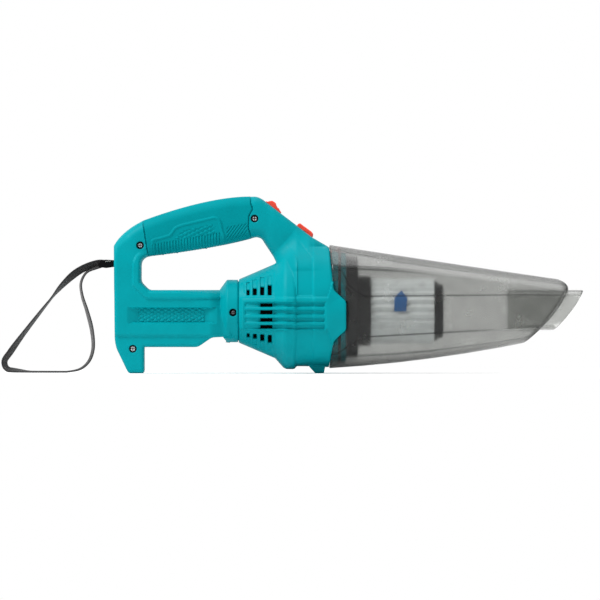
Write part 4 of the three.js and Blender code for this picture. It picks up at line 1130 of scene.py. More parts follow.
    # -- screws
    @staticmethod
    def screw_head(number: int, x: float, z: float, seat: float) -> bpy.types.Object:
        """A pan head with a cross recess, and its shank.

        Height over the head is a dome, less the recess, whose depth goes with the distance inside a cross
        and falls off away from its middle.

        Args:
            number: Number of the screw.
            x, z: Place of its axis.
            seat: Half width of the housing where the head sits.
        """
        head, reach, arm_half, turn = 2.8, 1.9, 0.42, 0.5
        r = np.linspace(0.0, 1.0, 26)[:, None]
        angle = np.linspace(0.0, 2 * np.pi, 64, endpoint=False)[None]
        u, v = head * r * np.cos(angle + turn), head * r * np.sin(angle + turn)
        dome = 1.1 * np.sqrt(np.clip(1 - 0.75 * r * r, 0, None)) - 0.55 + 0 * angle
        arm = np.minimum(np.maximum(arm_half - np.abs(u), arm_half - np.abs(v)) / 0.25,
                         (reach - np.hypot(u, v)) / 0.5)
        y = -seat - (dome - 0.9 * np.clip(arm, 0.0, 1.0) * (1 - 0.35 * np.hypot(u, v) / reach))
        shank = ((1.0, 1.4), (0.55, 1.5), (0.53, 7.0), (0.0, 7.2))
        us, vs = (np.concatenate([a, *(share * a[-1:] for share, _ in shank)]) for a in (u, v))
        ys = np.concatenate([y, *(np.full_like(y[-1:], -seat + deep) for _, deep in shank)])
        points = np.stack([x + us, ys, z + vs], axis=-1).reshape(-1, 3)
        faces = outward(points, grid_faces(len(us), us.shape[1], False, True))
        return add_mesh(f"housing_screw_{number}_look", points, [faces], 30.0)

    def wells(self) -> bpy.types.Object:
        """The counterbore walls round the four screw heads, one cup each."""
        parts = []
        sides, axis = 40, 0.02
        angle = np.linspace(0, 2 * np.pi, sides, endpoint=False)[:, None]
        for i, (x, z, half, sunk) in enumerate(self.screws):
            top = float(self.height(np.array([x + self.well]), np.array([z]))[0]) - 0.7
            deep = half - sunk - 0.2
            radius, y = np.array([
                (self.well - 0.05, top), (self.well - 0.35, top), (self.well - 0.45, deep + 0.2),
                (axis, deep + 0.2), (axis, deep - 1.2), (self.well - 0.05, deep - 1.2)]).T
            points = np.stack([x + radius * np.cos(angle), np.broadcast_to(-y, (sides, len(y))),
                               z + radius * np.sin(angle)], axis=-1)
            parts.append(loop_surface(f"well_{i}", points))
        return join("screw_wells", parts)

    def shade_sleeve(self) -> bpy.types.Object:
        """A near-black sleeve behind the vents that paints the shade inside them: 0.86 of the motor section's
        radius, 3 mm thick.
        """
        x = np.linspace(-88.5, -54.5, 12)
        outer = 0.86 * self.radius(x) - 1.2
        profile = np.concatenate([np.stack([x, outer], axis=1), np.stack([x, outer - 3.0], axis=1)[::-1]])
        return turned("vent_shade_sleeve", profile, 72)

    def build(self, paint: Paint) -> None:
        """Makes and dresses the housing."""
        finish_piece(self.shade_sleeve(), paint, "vent_shade_sleeve", "housing")
        shells = self.shells()
        for shell, node in zip(shells, ("housing_right", "housing_left")):
            finish_piece(shell, paint, "housing_plastic", "housing", [node])
        for pad, node in zip(self.pads(), ("grip_pad_right", "grip_pad_left")):
            finish_piece(pad, paint, "grip_overmould", "housing", [node])
        for piece in [*self.grilles(), *self.bar_panels()]:
            finish_piece(piece, paint, "housing_plastic", "housing")
        # the well walls take the near-black teal, a painted shade in the counterbores
        finish_piece(self.wells(), paint, "dark_well", "housing")
        for i, (x, z, half, sunk) in enumerate(self.screws, 1):
            finish_piece(self.screw_head(i, x, z, half - sunk), paint, "steel", "housing",
                         [f"housing_screw_{i}"])


# ------------------------------------------------------------------ dust cup
@dataclass
class DustCup:
    """The smoked cup with its facets, its slanted face and the intake tube.

    Attributes:
        wall: Thickness.
        face_top, face_foot: Ends of the slanted face in the side view.
        belly: How far that face bows out.
        tube: Half width, half height and middle height of the intake tube.
        reach: How far the tube stands out of the face.
        inner: Where the tube starts inside the cup.
        creases: Height of each crease line against x, top to bottom.
        places: Share of the half section where each crease is, with its two ends.
    """

    wall: float = 2.2
    face_top: tuple[float, float] = (236.4, 84.0)
    face_foot: tuple[float, float] = (190.0, 29.0)
    belly: float = 4.5
    tube: tuple[float, float, float] = (24.0, 20.0, 63.0)
    reach: float = 18.2
    inner: float = 178.4
    creases: tuple[tuple[tuple[float, ...], tuple[float, ...]], ...] = (
        ((0, 17.4, 38, 67, 150, 236), (122.4, 118.6, 115.2, 109.5, 98.0, 86.6)),
        ((0, 12.6, 28.8, 57.6, 86.3, 128.4, 236), (107.4, 105.6, 105.4, 104.0, 101.6, 96.4, 81.0)),
        ((0, 12.6, 28.8, 57.6, 86.3, 128.4, 236), (105.0, 103.6, 103.4, 102.0, 99.6, 94.4, 79.0)),
        ((0, 12.6, 21, 34.6, 201, 236), (104.0, 102.4, 86.5, 76.5, 78.0, 77.4)),
        ((0, 9.7, 21, 29.8, 169, 236), (19.4, 20.2, 29.1, 36.3, 44.0, 46.0)),
        ((0, 29.8, 67, 100.6, 169, 236), (16.0, 18.6, 20.5, 23.4, 32.5, 43.6)))
    places: tuple[float, ...] = (0.0, 0.17, 0.28, 0.30, 0.44, 0.68, 0.84, 1.0)

    def nose_x(self, z: Array) -> Array:
        """Where the slanted face is at height z: the line from foot to top with a parabolic belly."""
        (xt, zt), (xf, zf) = self.face_top, self.face_foot
        t = (z - zf) / (zt - zf)
        bow = 1.35 * self.belly * 4 * np.clip(t, 0, 1) * (1 - np.clip(t, 0, 1))
        rounding = 5.5 * np.clip((z - zt) / 6.5, 0, 1) ** 2
        return xf + np.clip(t, -1, 1.0) * (xt - xf) + bow - rounding

    def mouth_x(self, z: Array) -> Array:
        """Where the rear edge is at height z, with a gap to the housing."""
        at = np.array(MOUTH_LINE)
        return np.interp(z, at[:, 1], at[:, 0]) + GAP

    def section(self, x: Array, s: Array) -> tuple[Array, Array]:
        """(y, z) of the outer skin at x. s runs 0 to 1 from the top's middle to the bottom's middle.

        Between two crease lines the section is a chord of the superellipse, swollen by two fifths of the
        way to it, so the creases stand as lines.
        """
        top, bottom, _ = CUP_FORM.lines(x)
        heights = [top, *(np.interp(x, *crease) for crease in self.creases), bottom]
        heights = [np.clip(h, bottom, top) for h in heights]
        angles = []
        middle, tall = (top + bottom) / 2, (top - bottom) / 2
        for h in heights:
            v = np.clip((h - middle) / tall, -1, 1)
            u = (1 - np.abs(v) ** SQUARENESS) ** (1 / SQUARENESS)
            angles.append(np.arctan2(u, v))
        places = np.array(self.places)
        k = np.clip(np.searchsorted(places, s, side="right") - 1, 0, len(places) - 2)
        t = (s - places[k]) / (places[k + 1] - places[k])
        stack = np.array([np.broadcast_to(a, np.shape(s)) for a in angles])
        rows, columns = np.indices(np.shape(s))
        a, b = stack[k, rows, columns], stack[k + 1, rows, columns]
        ya, za = CUP_FORM.ring(x, a)
        yb, zb = CUP_FORM.ring(x, b)
        yr, zr = CUP_FORM.ring(x, a + (b - a) * t)
        swell = np.select([k == 0, k == 6], [1.0, 1.0], 0.42)
        chord_y, chord_z = ya + (yb - ya) * t, za + (zb - za) * t
        return chord_y + swell * (yr - chord_y), chord_z + swell * (zr - chord_z)

    def skin(self) -> bpy.types.Object:
        """The cup: rows from the mouth's edge to the slanted face, then over its rim to the tube's hole.

        Each point's x and z depend on each other, so x is settled by repeating the two formulas.
        """
        edges = np.array(self.places[1:-1])
        close = (edges[:, None] + np.array([-0.006, -0.0025, 0.0, 0.0025, 0.006])).ravel()
        s = np.unique(np.concatenate([np.linspace(0, 1, 61), close]))
        u = np.linspace(0, 1, 116)
        side = self.rows(u[:, None], np.broadcast_to(s, (len(u), len(s))))
        rim_y, rim_x, rim_z = side[-1, :, 1], side[-1, :, 0], side[-1, :, 2]
        hole_y, hole_z = self.tube_outline(rim_y, rim_z)
        rows = []
        for t, lift in ((0.03, 0.9), (0.09, 1.35), (0.2, 1.5), (0.45, 1.5), (0.75, 1.5), (1.0, 1.5)):
            y, z = rim_y + (hole_y - rim_y) * t, rim_z + (hole_z - rim_z) * t
            x = self.nose_x(z) + lift - 1.2
            rows.append(np.stack([np.maximum(x, rim_x - 3.0), y, z], axis=-1))
        half = np.concatenate([side, np.array(rows)])
        other = half[:, -2:0:-1] * (1, -1, 1)
        grid = np.concatenate([half, other], axis=1)
        faces = grid_faces(grid.shape[0], grid.shape[1], False, True)
        made = add_mesh("dust_cup_look", grid.reshape(-1, 3), [faces], 16.0)
        # painted shade: creases, the roof's band and the rims are drawn darker through the shade attribute
        half_shade = np.zeros(half.shape[:2])
        half_shade[:len(u)] = self.shade(u[:, None], s[None])
        shade = np.concatenate([half_shade, half_shade[:, -2:0:-1]], axis=1)
        made.data.attributes.new("shade", "FLOAT", "POINT").data.foreach_set(
            "value", shade.ravel().astype(np.float32))
        return thicken(made, self.wall)

    def shade(self, u: Array, s: Array) -> Array:
        """Painted shade on the skin, 0 to 1: a thin dark line along each crease, a darker band on the roof, a
        fainter one at the bottom, and the two rims.
        """
        lines = np.zeros(np.broadcast(u, s).shape)
        for place, strength, fades in zip(self.places[1:-1], (0.8, 1.0, 1.0, 0.7, 0.9, 0.8),
                                          (0.65, 0.55, 0.5, 1.2, 0.9, 0.8)):
            thin = np.clip(1 - np.abs(s - place) / 0.006, 0, 1)
            lines = np.maximum(lines, strength * thin * np.clip(4 * (fades - u), 0, 1))
        roof = 0.5 * np.clip((0.14 - s) / 0.05, 0, 1) + 0.3 * np.clip((s - 0.9) / 0.05, 0, 1)
        rims = 0.7 * np.clip((u - 0.985) / 0.012, 0, 1)
        return np.maximum.reduce([lines, roof + 0 * u, rims + 0 * s])

    def rows(self, u: Array, s: Array) -> Array:
        """Points (u, s, 3) of the outer skin between the mouth's edge and the slanted face."""
        x = np.broadcast_to(u * CUP_FORM.length, s.shape)
        for _ in range(10):
            y, z = self.section(x, s)
            start, end = self.mouth_x(z), self.nose_x(z)
            x = start + u * (end - start)
        y, z = self.section(x, s)
        return np.stack([x, y, z], axis=-1)

    def tube_ring(self, angle: Array, inset: Array | float) -> tuple[Array, Array]:
        """(y, z) of the intake tube's rounded rectangle, a superellipse moved inwards by inset."""
        half, height, middle = self.tube
        a, b = np.sin(angle), np.cos(angle)
        out = stretch(a, b, TUBE_SQUARENESS)
        return a * out * (half - inset), middle + b * out * (height - inset)

    def tube_outline(self, rim_y: Array, rim_z: Array) -> tuple[Array, Array]:
        """Points of the tube's hole, one for each point of the rim, taken at the angle of the rim's point."""
        rim_half, rim_middle, rim_height = 29.0, 65.0, 24.0
        angle = np.arctan2(rim_y / rim_half, (rim_z - rim_middle) / rim_height)
        return self.tube_ring(np.maximum.accumulate(angle), -GAP)

    def nozzle(self) -> bpy.types.Object:
        """The intake tube, from inside the cup to its slanted end.

        Its profile goes out along the outer wall, round the lip and back along the inner wall.
        """
        angle = np.linspace(0, 2 * np.pi, 96, endpoint=False)[:, None]
        lip = [(0.0, 0.0), (0.25, 0.0), (0.5, 0.0), (0.75, 0.0), (0.93, 0.0), (0.97, 0.0), (0.985, 0.0),
               (0.996, 0.35), (1.0, 0.8), (1.0, 1.2), (0.996, 1.65), (0.985, 2.0), (0.75, 2.0), (0.5, 2.0),
               (0.25, 2.0), (0.0, 2.0), (-0.004, 1.6), (-0.004, 0.4)]
        t, inset = np.array(lip).T
        y, z = self.tube_ring(angle, inset)
        end = self.nose_x(z) + self.reach
        x = self.inner + t * (end - self.inner)
        return loop_surface("intake_nozzle_look", np.stack([x, y, z], axis=-1), sharp=40.0)

    def build(self, paint: Paint) -> None:
        """Makes and dresses the cup."""
        finish_piece(self.skin(), paint, "smoked_plastic", "cup", ["dust_cup"])
        finish_piece(self.nozzle(), paint, "clear_tube", "cup", ["intake_nozzle"])


# ------------------------------------------------------------------ what shows through the cup
@dataclass
class Filter:
    """The spigot, its seal, the filter holder and the pleated filter.

    Attributes:
        spigot: x0, x1, inset from the cup's form, wall and radius of its eye.
        seal: x0 and x1.
        holder: x0, x1, inset and bore.
        base, pleats, cap: x0, x1 and radius.
        folds: Number of pleats and their depth.
    """

    spigot: tuple[float, float, float, float, float] = (-10.9, 17.0, 2.8, 2.2, 20.0)
    seal: tuple[float, float] = (9.0, 12.0)
    holder: tuple[float, float, float, float] = (17.3, 28.8, 6.5, 33.9)
    base: tuple[float, float, float] = (20.9, 41.6, 33.4)
    pleats: tuple[float, float, float] = (41.9, 104.9, 32.0)
    cap: tuple[float, float, float] = (105.2, 114.2, 26.5)
    folds: tuple[int, float] = (26, 3.0)

    @staticmethod
    def formed(name: str, profile: Sequence[Sequence[float]], sides: int = 120) -> bpy.types.Object:
        """A closed profile carried round the cup's superellipse.

        A profile point is x, inset, share and radius: share 0 is the superellipse moved inwards by inset,
        and share 1 a circle of that radius round the motor's axis.
        """
        x, inset, share, radius = np.array(profile, float).T
        angle = np.linspace(0, 2 * np.pi, sides, endpoint=False)[:, None]
        y, z = CUP_FORM.ring(np.clip(x, 0, None), angle, inset)
        cy, cz = radius * np.sin(angle), AXIS + radius * np.cos(angle)
        y, z = y * (1 - share) + cy * share, z * (1 - share) + cz * share
        return loop_surface(name, np.stack([np.broadcast_to(x, y.shape), y, z], axis=-1))

    def spigot_piece(self) -> bpy.types.Object:
        """The housing's spigot: a skin behind the cup's wall and a front face with a round eye."""
        x0, x1, inset, wall, eye = self.spigot
        return self.formed("cup_spigot_look", [
            (x0, inset, 0, eye), (x1 - 2, inset, 0, eye), (x1 - 0.6, inset + 0.6, 0, eye),
            (x1, inset + 2, 0, eye),
            (x1, 9, 0.5, 30), (x1, 9, 1, eye + 5), (x1 - 0.4, 9, 1, eye + 0.5), (x1 - 1.2, 9, 1, eye),
            (x1 - wall - 5, 9, 1, eye), (x1 - wall - 5, 9, 1, eye + 2), (x1 - wall, 9, 1, eye + 2.4),
            (x1 - wall, 9, 0.5, 30), (x1 - wall, inset + wall + 1, 0, eye), (x0, inset + wall, 0, eye)])

    def holder_piece(self) -> bpy.types.Object:
        """The plate that carries the filter, with a raised rim and a round bore."""
        x0, x1, inset, bore = self.holder
        return self.formed("filter_holder_look", [
            (x0, inset + 1, 0, bore), (x0 + 1, inset, 0, bore), (x1 - 1, inset, 0, bore),
            (x1, inset + 0.8, 0, bore),
            (x1, inset + 3, 0, bore), (x1 - 1.5, inset + 4, 0, bore), (x1 - 1.5, 9, 1, bore + 3),
            (x1, 9, 1, bore + 2.2), (x1, 9, 1, bore + 0.4), (x1 - 0.8, 9, 1, bore), (x0 + 3, 9, 1, bore),
            (x0 + 3, 9, 1, bore - 7), (x0, 9, 1, bore - 7)])

    def seal_piece(self) -> bpy.types.Object:
        """The rubber ring in the spigot's groove, with a rounded lip."""
        x0, x1 = self.seal
        t = np.linspace(0, 2 * np.pi, 14, endpoint=False)
        profile = [((x0 + x1) / 2 + 1.45 * math.cos(a), 2.95 + 0.55 * math.sin(a), 0, 20) for a in t]
        return self.formed("cup_seal_look", profile)

    def base_piece(self) -> bpy.types.Object:
        """The filter's base ring: a knurled rim in front of the holder and a plain sleeve inside it."""
        x0, x1, radius = self.base
        lip = self.holder[1] + 0.4

        def knurl(r: Array, angle: Array) -> Array:
            return r - 0.55 * (r > radius + 0.3) * (0.5 + 0.5 * np.cos(36 * angle)) ** 3

        return turned("filter_base_ring_look", [
            (x0, 22), (x0, radius - 1), (x0 + 0.8, radius), (lip, radius), (lip, radius + 0.4),
            (lip + 1.2, radius + 1.3),
            (x1 - 1.6, radius + 1.3), (x1 - 0.4, radius + 0.6), (x1, radius - 0.6), (x1, 20.5), (x1 - 1, 20),
            (x0 + 1, 20)], 216, knurl)

    def pleat_piece(self) -> bpy.types.Object:
        """Paper folded into pleats: the radius swings between two values as a rounded triangle wave."""
        x0, x1, radius = self.pleats
        count, depth = self.folds

        def folded(r: Array, angle: Array) -> Array:
            wave = np.arcsin(0.96 * np.cos(count * angle)) / math.asin(0.96)
            return r - depth * (0.5 - 0.5 * wave)

        length = np.linspace(0, 1, 9)
        outer = [(x0 + (x1 - x0) * t, radius - 0.2 + 0.35 * math.sin(3 * math.pi * t)) for t in length]
        inner = [(x, r - 1.0) for x, r in reversed(outer)]
        return turned("filter_pleats_look", outer + inner, 26 * 12, folded, 60.0)

    def cap_piece(self) -> bpy.types.Object:
        """The filter's end cap: a flange over the pleats, a lower step and ribs to hold it by."""
        x0, x1, radius = self.cap

        def ribs(r: Array, angle: Array) -> Array:
            return r - 0.7 * (r > 28) * (0.5 + 0.5 * np.cos(30 * angle)) ** 4

        return turned("filter_end_cap_look", [
            (x0, 0.05), (x0, 28.8), (x0 + 0.8, 29.6), (x0 + 2.4, 29.6), (x0 + 3.2, 28.9),
            (x0 + 3.2, radius + 0.6),
            (x1 - 1.5, radius), (x1 - 0.4, radius - 0.8), (x1, radius - 2.2), (x1, 15), (x1 - 1.5, 13.5),
            (x1 - 1.5, 0.05)], 180, ribs)

    def arrow(self) -> bpy.types.Object:
        """A pointer printed on a label round the filter: a patch of a cylinder just outside the pleats."""
        shape = rounded([(72.0, 82.5), (78.0, 75.3), (76.8, 61.7), (64.8, 61.7), (65.2, 75.3)])
        radius = 32.5
        return ReliefShell(
            "arrow_mark", (64.0, 79.0, 61.0, 83.5), 0.6, lambda x, z: np.sqrt(radius**2 - (z - AXIS) ** 2),
            everywhere, lambda x, z: inside(x, z, shape), wall=0.1).build(Side.RIGHT)

    def build(self, paint: Paint) -> None:
        """Makes and dresses the pieces."""
        finish_piece(self.arrow(), paint, "arrow_mark", "filter")
        # the spigot takes the darker teal copy, a painted shade
        finish_piece(self.spigot_piece(), paint, "spigot_plastic", "housing", ["cup_spigot"])
        for make, finish, body, node in (
                (self.seal_piece, "seal_rubber", "housing", "cup_seal"),
                (self.holder_piece, "black_plastic", "filter_carrier", "filter_holder"),
                (self.base_piece, "black_plastic", "filter", "filter_base_ring"),
                (self.pleat_piece, "filter_media", "filter", "filter_pleats"),
                (self.cap_piece, "black_plastic", "filter", "filter_end_cap")):
            finish_piece(make(), paint, finish, body, [node])


# ------------------------------------------------------------------ controls
@dataclass
class Controls:
    """The red slide switch and the latch button with its hook.

    Attributes:
        knob: Distance down the slope, length and half width.
        button: The same for the latch button.
    """

    knob: tuple[float, float, float] = (4.0, 20.0, 6.5)
    button: tuple[float, float, float] = (43.6, 20.0, 7.0)

    def build(self, paint: Paint, housing: Housing) -> None:
        """Makes and dresses the three red pieces."""

        def along(first: float, side: Sequence[Sequence[float]], steps: int) -> Array:
            """An outline from (distance down the slope, height above it, radius) points."""
            return rounded([(*housing.on_slope(first + d, a), r) for d, a, r in side], steps)

        start, length, half = self.knob
        knob = along(start, [
            (0.3, -0.9, 0.6), (0.3, 0.9, 0.6), (1.8, 1.2, 0.4), (3.6, 3.6, 1.0), (5.2, 5.0, 0.8),
            (9.4, 5.4, 1.4),
            (11.2, 3.8, 0.8), (12.6, 3.2, 0.6), (14.0, 2.6, 0.6), (15.0, 3.1, 0.6), (16.4, 2.2, 0.6),
            (length - 0.4, 1.0, 0.6), (length - 0.3, -0.9, 0.6)], 5)
        finish_piece(plate("switch_knob_look", knob, half, 0.8, 5), paint, "red_plastic", "switch_knob",
                     ["power_switch"])
        start, length, half = self.button
        button = along(start, [
            (0.2, -3.0, 0.3), (0.2, 2.6, 0.8), (1.6, 4.1, 0.8), (4.2, 3.9, 0.5), (16.2, 4.2, 1.6),
            (18.6, 3.0, 1.0),
            (length - 0.4, 0.9, 0.6), (length - 0.2, -3.0, 0.3)], 6)
        finish_piece(plate("latch_button_look", button, half, 1.0, 5), paint, "red_plastic", "release_lever",
                     ["release_latch"])
        arm = rounded([
            (*housing.on_slope(36.4, -9.0), 1.5), (*housing.on_slope(40.0, -11.8), 1.5), (-29.0, 114.0, 1.5),
            (-21.8, 113.9, 1.0), (-17.6, 117.1, 1.0), (-11.6, 117.1, 0.4), (-11.6, 119.9, 0.4),
            (*housing.on_slope(62.6, -2.2), 0.8), (*housing.on_slope(45.6, -2.2), 0.8),
            (*housing.on_slope(39.0, -4.6), 1.5)], 5)
        finish_piece(plate("latch_arm_look", arm, 4.5, 0.5, 3), paint, "red_plastic", "release_lever")


# ------------------------------------------------------------------ wrist strap
@dataclass
class Strap:
    """The webbing loop: a ribbon carried along its route with a changing twist.

    Attributes:
        width, thick: Of the webbing.
        rear, height: Where the slot is.
        twist: Share of the length and twist in degrees there.
    """

    width: float = 10.0
    thick: float = 1.4
    rear: float = -216.0
    height: float = 109.5
    twist: tuple[tuple[float, float], ...] = (
        (0.0, 0), (0.012, 0), (0.035, 38), (0.12, 44), (0.17, 22), (0.2, 5), (0.26, 14), (0.33, 22),
        (0.38, 34), (0.44, 30), (0.5, 5), (0.62, 4), (0.68, 14), (0.78, 20), (0.86, 12), (0.93, 8),
        (0.965, 24), (0.988, 0), (1.0, 0))

    def route(self) -> Array:
        """Route of the strap: a centripetal Catmull-Rom curve through the points, 12 steps each."""
        x, z, lift = self.rear, self.height, 1.0
        upper = lift + GAP
        given = np.array([
            (x + 1.2, 0, z + upper), (x - 8, 0, z + upper), (x - 20, 0, z - 1), (x - 35, 0, z - 8),
            (x - 50, 0, z - 21), (x - 65, 0, z - 39), (x - 80, 0, z - 58), (x - 93, 0, z - 75),
            (x - 103, 0, z - 89), (x - 108.5, 0, 12), (x - 107, 0, 5.5), (x - 101, 0, 2),
            (x - 91, 0, lift), (x - 78, 0, lift), (x - 62, 0, lift), (x - 44, 0, lift + 0.6),
            (x - 32, 0, 4.5), (x - 24, 0, 12), (x - 20, 0, 24), (x - 21, 0, 42), (x - 26, 0, 62),
            (x - 31, 0, 78), (x - 32, 0, 90), (x - 27, 0, 100), (x - 18, 0, z - upper - 3.2),
            (x - 8, 0, z - upper), (x + 1.2, 0, z - upper)])
        p = np.concatenate([[2 * given[0] - given[1]], given, [2 * given[-1] - given[-2]]])
        gaps = np.sqrt(np.linalg.norm(np.diff(p, axis=0), axis=1))[:, None]
        p0, p1, p2, p3 = p[:-3], p[1:-2], p[2:-1], p[3:]
        d0, d1, d2 = gaps[:-2], gaps[1:-1], gaps[2:]
        m1 = ((p1 - p0) / d0 - (p2 - p0) / (d0 + d1) + (p2 - p1) / d1) * d1
        m2 = ((p2 - p1) / d1 - (p3 - p1) / (d1 + d2) + (p3 - p2) / d2) * d1
        t = np.linspace(0, 1, 12, endpoint=False)[None, :, None]
        a, b, c, d = (v[:, None] for v in (p1, m1, -3 * p1 + 3 * p2 - 2 * m1 - m2, 2 * p1 - 2 * p2 + m1 + m2))
        curve = (a + b * t + c * t**2 + d * t**3).reshape(-1, 3)
        return np.concatenate([curve, given[-1:]])

    def build_keeper(self, paint: Paint) -> None:
        """The sewn keeper that holds both strands together by the slot, and its three stitches."""
        x, z = self.rear, self.height
        shape = rounded([(x - 13.5, z + 2.6, 1.0), (x - 8.0, z + 3.9, 2.0), (x + 1.8, z + 3.3, 0.5),
                         (x + 1.8, z - 3.3, 0.5), (x - 7.0, z - 4.6, 1.0), (x - 14.5, z - 3.4, 1.0)])
        finish_piece(plate("strap_keeper", shape, 5.6, 0.7, 4), paint, "keeper", "housing")
        stitches = []
        for i, (dx, dz) in enumerate(((-7.6, 1.9), (-5.6, 2.2), (-3.6, 2.2))):
            bar = rounded([(x + dx, z + dz), (x + dx + 1.7, z + dz + 0.9), (x + dx + 1.5, z + dz + 0.4),
                           (x + dx + 0.2, z + dz - 0.5)])
            stitches.append(plate(f"stitch_{i}", bar, 5.75, 0.1, 2))
        finish_piece(join("keeper_stitches", stitches), paint, "stitch_thread", "housing")

    def build(self, paint: Paint) -> None:
        """Carries a rounded rectangle along the route, turned by the twist, and closes its two ends."""
        path = self.route()
        step = np.linalg.norm(np.diff(path, axis=0), axis=1)
        length = np.concatenate([[0], np.cumsum(step)])
        even = np.linspace(0, length[-1], 321)
        path = np.stack([np.interp(even, length, path[:, k]) for k in range(3)], axis=1)
        tangent = np.gradient(path, axis=0)
        tangent /= np.linalg.norm(tangent, axis=1)[:, None]
        across = np.array([0.0, 1.0, 0.0])
        normal = np.cross(tangent, across)
        turn = np.radians(np.interp(even / even[-1], *np.array(self.twist).T))
        for _ in range(12):
            turn = np.concatenate([turn[:1], (turn[:-2] + 2 * turn[1:-1] + turn[2:]) / 4, turn[-1:]])
        low = path[:, 2] - np.abs(np.sin(turn)) * self.width / 2 - self.thick / 2
        path[:, 2] += np.clip(0.25 - low, 0, None)
        wide = across * np.cos(turn)[:, None] + normal * np.sin(turn)[:, None]
        thin = normal * np.cos(turn)[:, None] - across * np.sin(turn)[:, None]
        angle = np.linspace(0, 2 * np.pi, 20, endpoint=False) + 0.1
        a, b = np.sin(angle), np.cos(angle)
        out = stretch(a, b, 8.0)
        sv, su = a * out * self.thick / 2, b * out * self.width / 2
        points = path[:, None] + su[None, :, None] * wide[:, None] + sv[None, :, None] * thin[:, None]
        rings, count = points.shape[:2]
        points = points.reshape(-1, 3)
        grid = grid_faces(rings, count, False, True)
        faces = outward(points, grid)
        caps = np.stack([np.arange(count), (rings - 1) * count + np.arange(count)[::-1]])
        caps = caps[:, ::-1] if faces is grid else caps
        strap = add_mesh("wrist_strap_look", points, [faces, caps], 50.0)
        layer = strap.data.uv_layers.new(name="along")
        loops = np.zeros(len(strap.data.loops), int)
        strap.data.loops.foreach_get("vertex_index", loops)
        uv = np.stack([even[loops // count], su[loops % count]], axis=1)
        layer.data.foreach_set("uv", uv.astype(np.float32).ravel())
        finish_piece(strap, paint, "webbing", "housing", ["wrist_strap"])
        self.build_keeper(paint)


# ------------------------------------------------------------------ bringing it together
INSIDE = {
    "steel": ("strap_pin", "terminal_blade_1", "terminal_blade_2", "terminal_blade_3", "motor_can",
              "motor_bush_rear",
              "motor_bush_front", "motor_shaft", "impeller_nut", "latch_pin", "latch_spring"),
    "black_plastic": ("battery_terminal_block", "motor_end_cap", "motor_mount", "impeller", "switch_body"),
    "magnet": ("motor_magnet_right", "motor_magnet_left"),
    "copper": ("armature", "commutator"),
    "seal_rubber": ("motor_damper",),
    "red_plastic": ("latch_hook",),
    "red_lead": ("lead_battery_to_switch", "lead_switch_to_motor"),
    "black_lead": ("lead_battery_to_motor",),
}


def finish_piece(piece: bpy.types.Object, paint: Paint, finish: str, body: str, nodes: Sequence[str] = ()) -> None:
    """Dresses a piece, puts it on its body and hides the CAD nodes that it stands for.

    Args:
        piece: The new object.
        paint: Where finishes come from.
        finish: Key of its finish.
        body: CAD body that it rides on.
        nodes: CAD nodes that it stands for.
    """
    paint.on(piece, finish)
    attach(piece, body)
    if nodes:
        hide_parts(*nodes)
    LOG.info("%s: %d faces on %s", piece.name, len(piece.data.polygons), body)


def dress_cad(paint: Paint) -> None:
    """Gives every CAD node that still shows the finish of its slot in the record."""
    for finish, nodes in INSIDE.items():
        for node in nodes:
            paint.on(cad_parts[node], finish)


def make_camera() -> None:
    """A long lens level with the vacuum's middle, so that the side view is nearly without perspective."""
    data = bpy.data.cameras.new("camera")
    data.sensor_width, data.lens, data.clip_end = 36.0, 720.0, 200.0
    camera = bpy.data.objects.new("camera", data)
    camera.location = (-0.0483, -12.0, 0.073)
    camera.rotation_euler = (math.pi / 2, 0.0, 0.0)
    bpy.context.scene.collection.objects.link(camera)
    bpy.context.scene.camera = camera


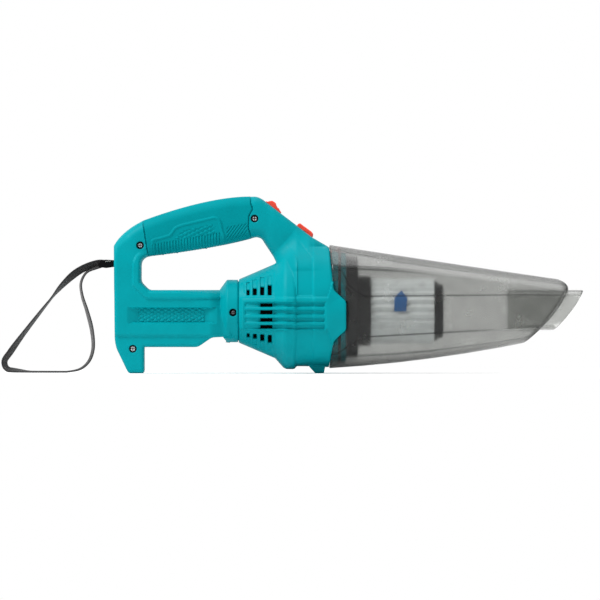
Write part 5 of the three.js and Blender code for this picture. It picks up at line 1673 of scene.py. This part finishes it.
def make_studio() -> None:
    """A pale round floor, an even white surround and two soft lights, the brighter from upper left.

    Light that lands on dull surfaces comes from a surround half as bright as the one that is seen.
    """
    scene = bpy.context.scene
    scene.view_settings.view_transform = "Standard"
    world = bpy.data.worlds.new("surround")
    world.use_nodes = True
    background = world.node_tree.nodes["Background"]
    background.inputs["Color"].default_value = (1, 1, 1, 1)
    path = world.node_tree.nodes.new("ShaderNodeLightPath")
    level = world.node_tree.nodes.new("ShaderNodeMapRange")
    level.inputs["To Min"].default_value, level.inputs["To Max"].default_value = 1.0, 0.5
    world.node_tree.links.new(path.outputs["Is Diffuse Ray"], level.inputs["Value"])
    world.node_tree.links.new(level.outputs["Result"], background.inputs["Strength"])
    scene.world = world
    radius, sides, below = 0.75, 64, 0.0002
    angle = np.linspace(0, 2 * np.pi, sides, endpoint=False)
    points = np.stack([radius * np.cos(angle), radius * np.sin(angle), 0 * angle - below], axis=1)
    mesh = bpy.data.meshes.new("floor")
    mesh.from_pydata(points.tolist(), [], [list(range(sides))])
    floor = bpy.data.objects.new("floor", mesh)
    scene.collection.objects.link(floor)
    s = Shader("pale_floor")
    s.wire(s.between(s.noise(400.0), (0.93, 0.93, 0.93, 1), (0.97, 0.97, 0.97, 1)),
           s.body.inputs["Base Color"])
    s.set(Roughness=0.9, Specular_IOR_Level=0.0)
    floor.data.materials.append(s.material)
    target = np.array([0.0, 0.0, 0.08])
    for name, place, size, power in (
            ("key", (-1.5, -0.9, 2.2), 1.0, 62.0), ("top", (0.3, 0.2, 2.6), 1.2, 14.0)):
        light = bpy.data.lights.new(name, "AREA")
        light.shape, light.size, light.energy = "SQUARE", size, power
        lamp = bpy.data.objects.new(name, light)
        lamp.location = place
        aim = target - np.array(place)
        tilt, turn = math.acos(-aim[2] / np.linalg.norm(aim)), math.atan2(aim[1], aim[0]) - math.pi / 2
        lamp.rotation_euler = (tilt, 0.0, turn)
        scene.collection.objects.link(lamp)
        lamp.visible_transmission = False


def main() -> None:
    """Builds the vacuum, piece by piece."""
    logging.basicConfig(level=logging.INFO, format="%(message)s")
    make_camera()
    paint = Paint()
    Strap().build(paint)
    housing = Housing()
    housing.build(paint)
    DustCup().build(paint)
    Filter().build(paint)
    Controls().build(paint, housing)
    dress_cad(paint)
    make_studio()


if __name__ == "__main__":
    main()
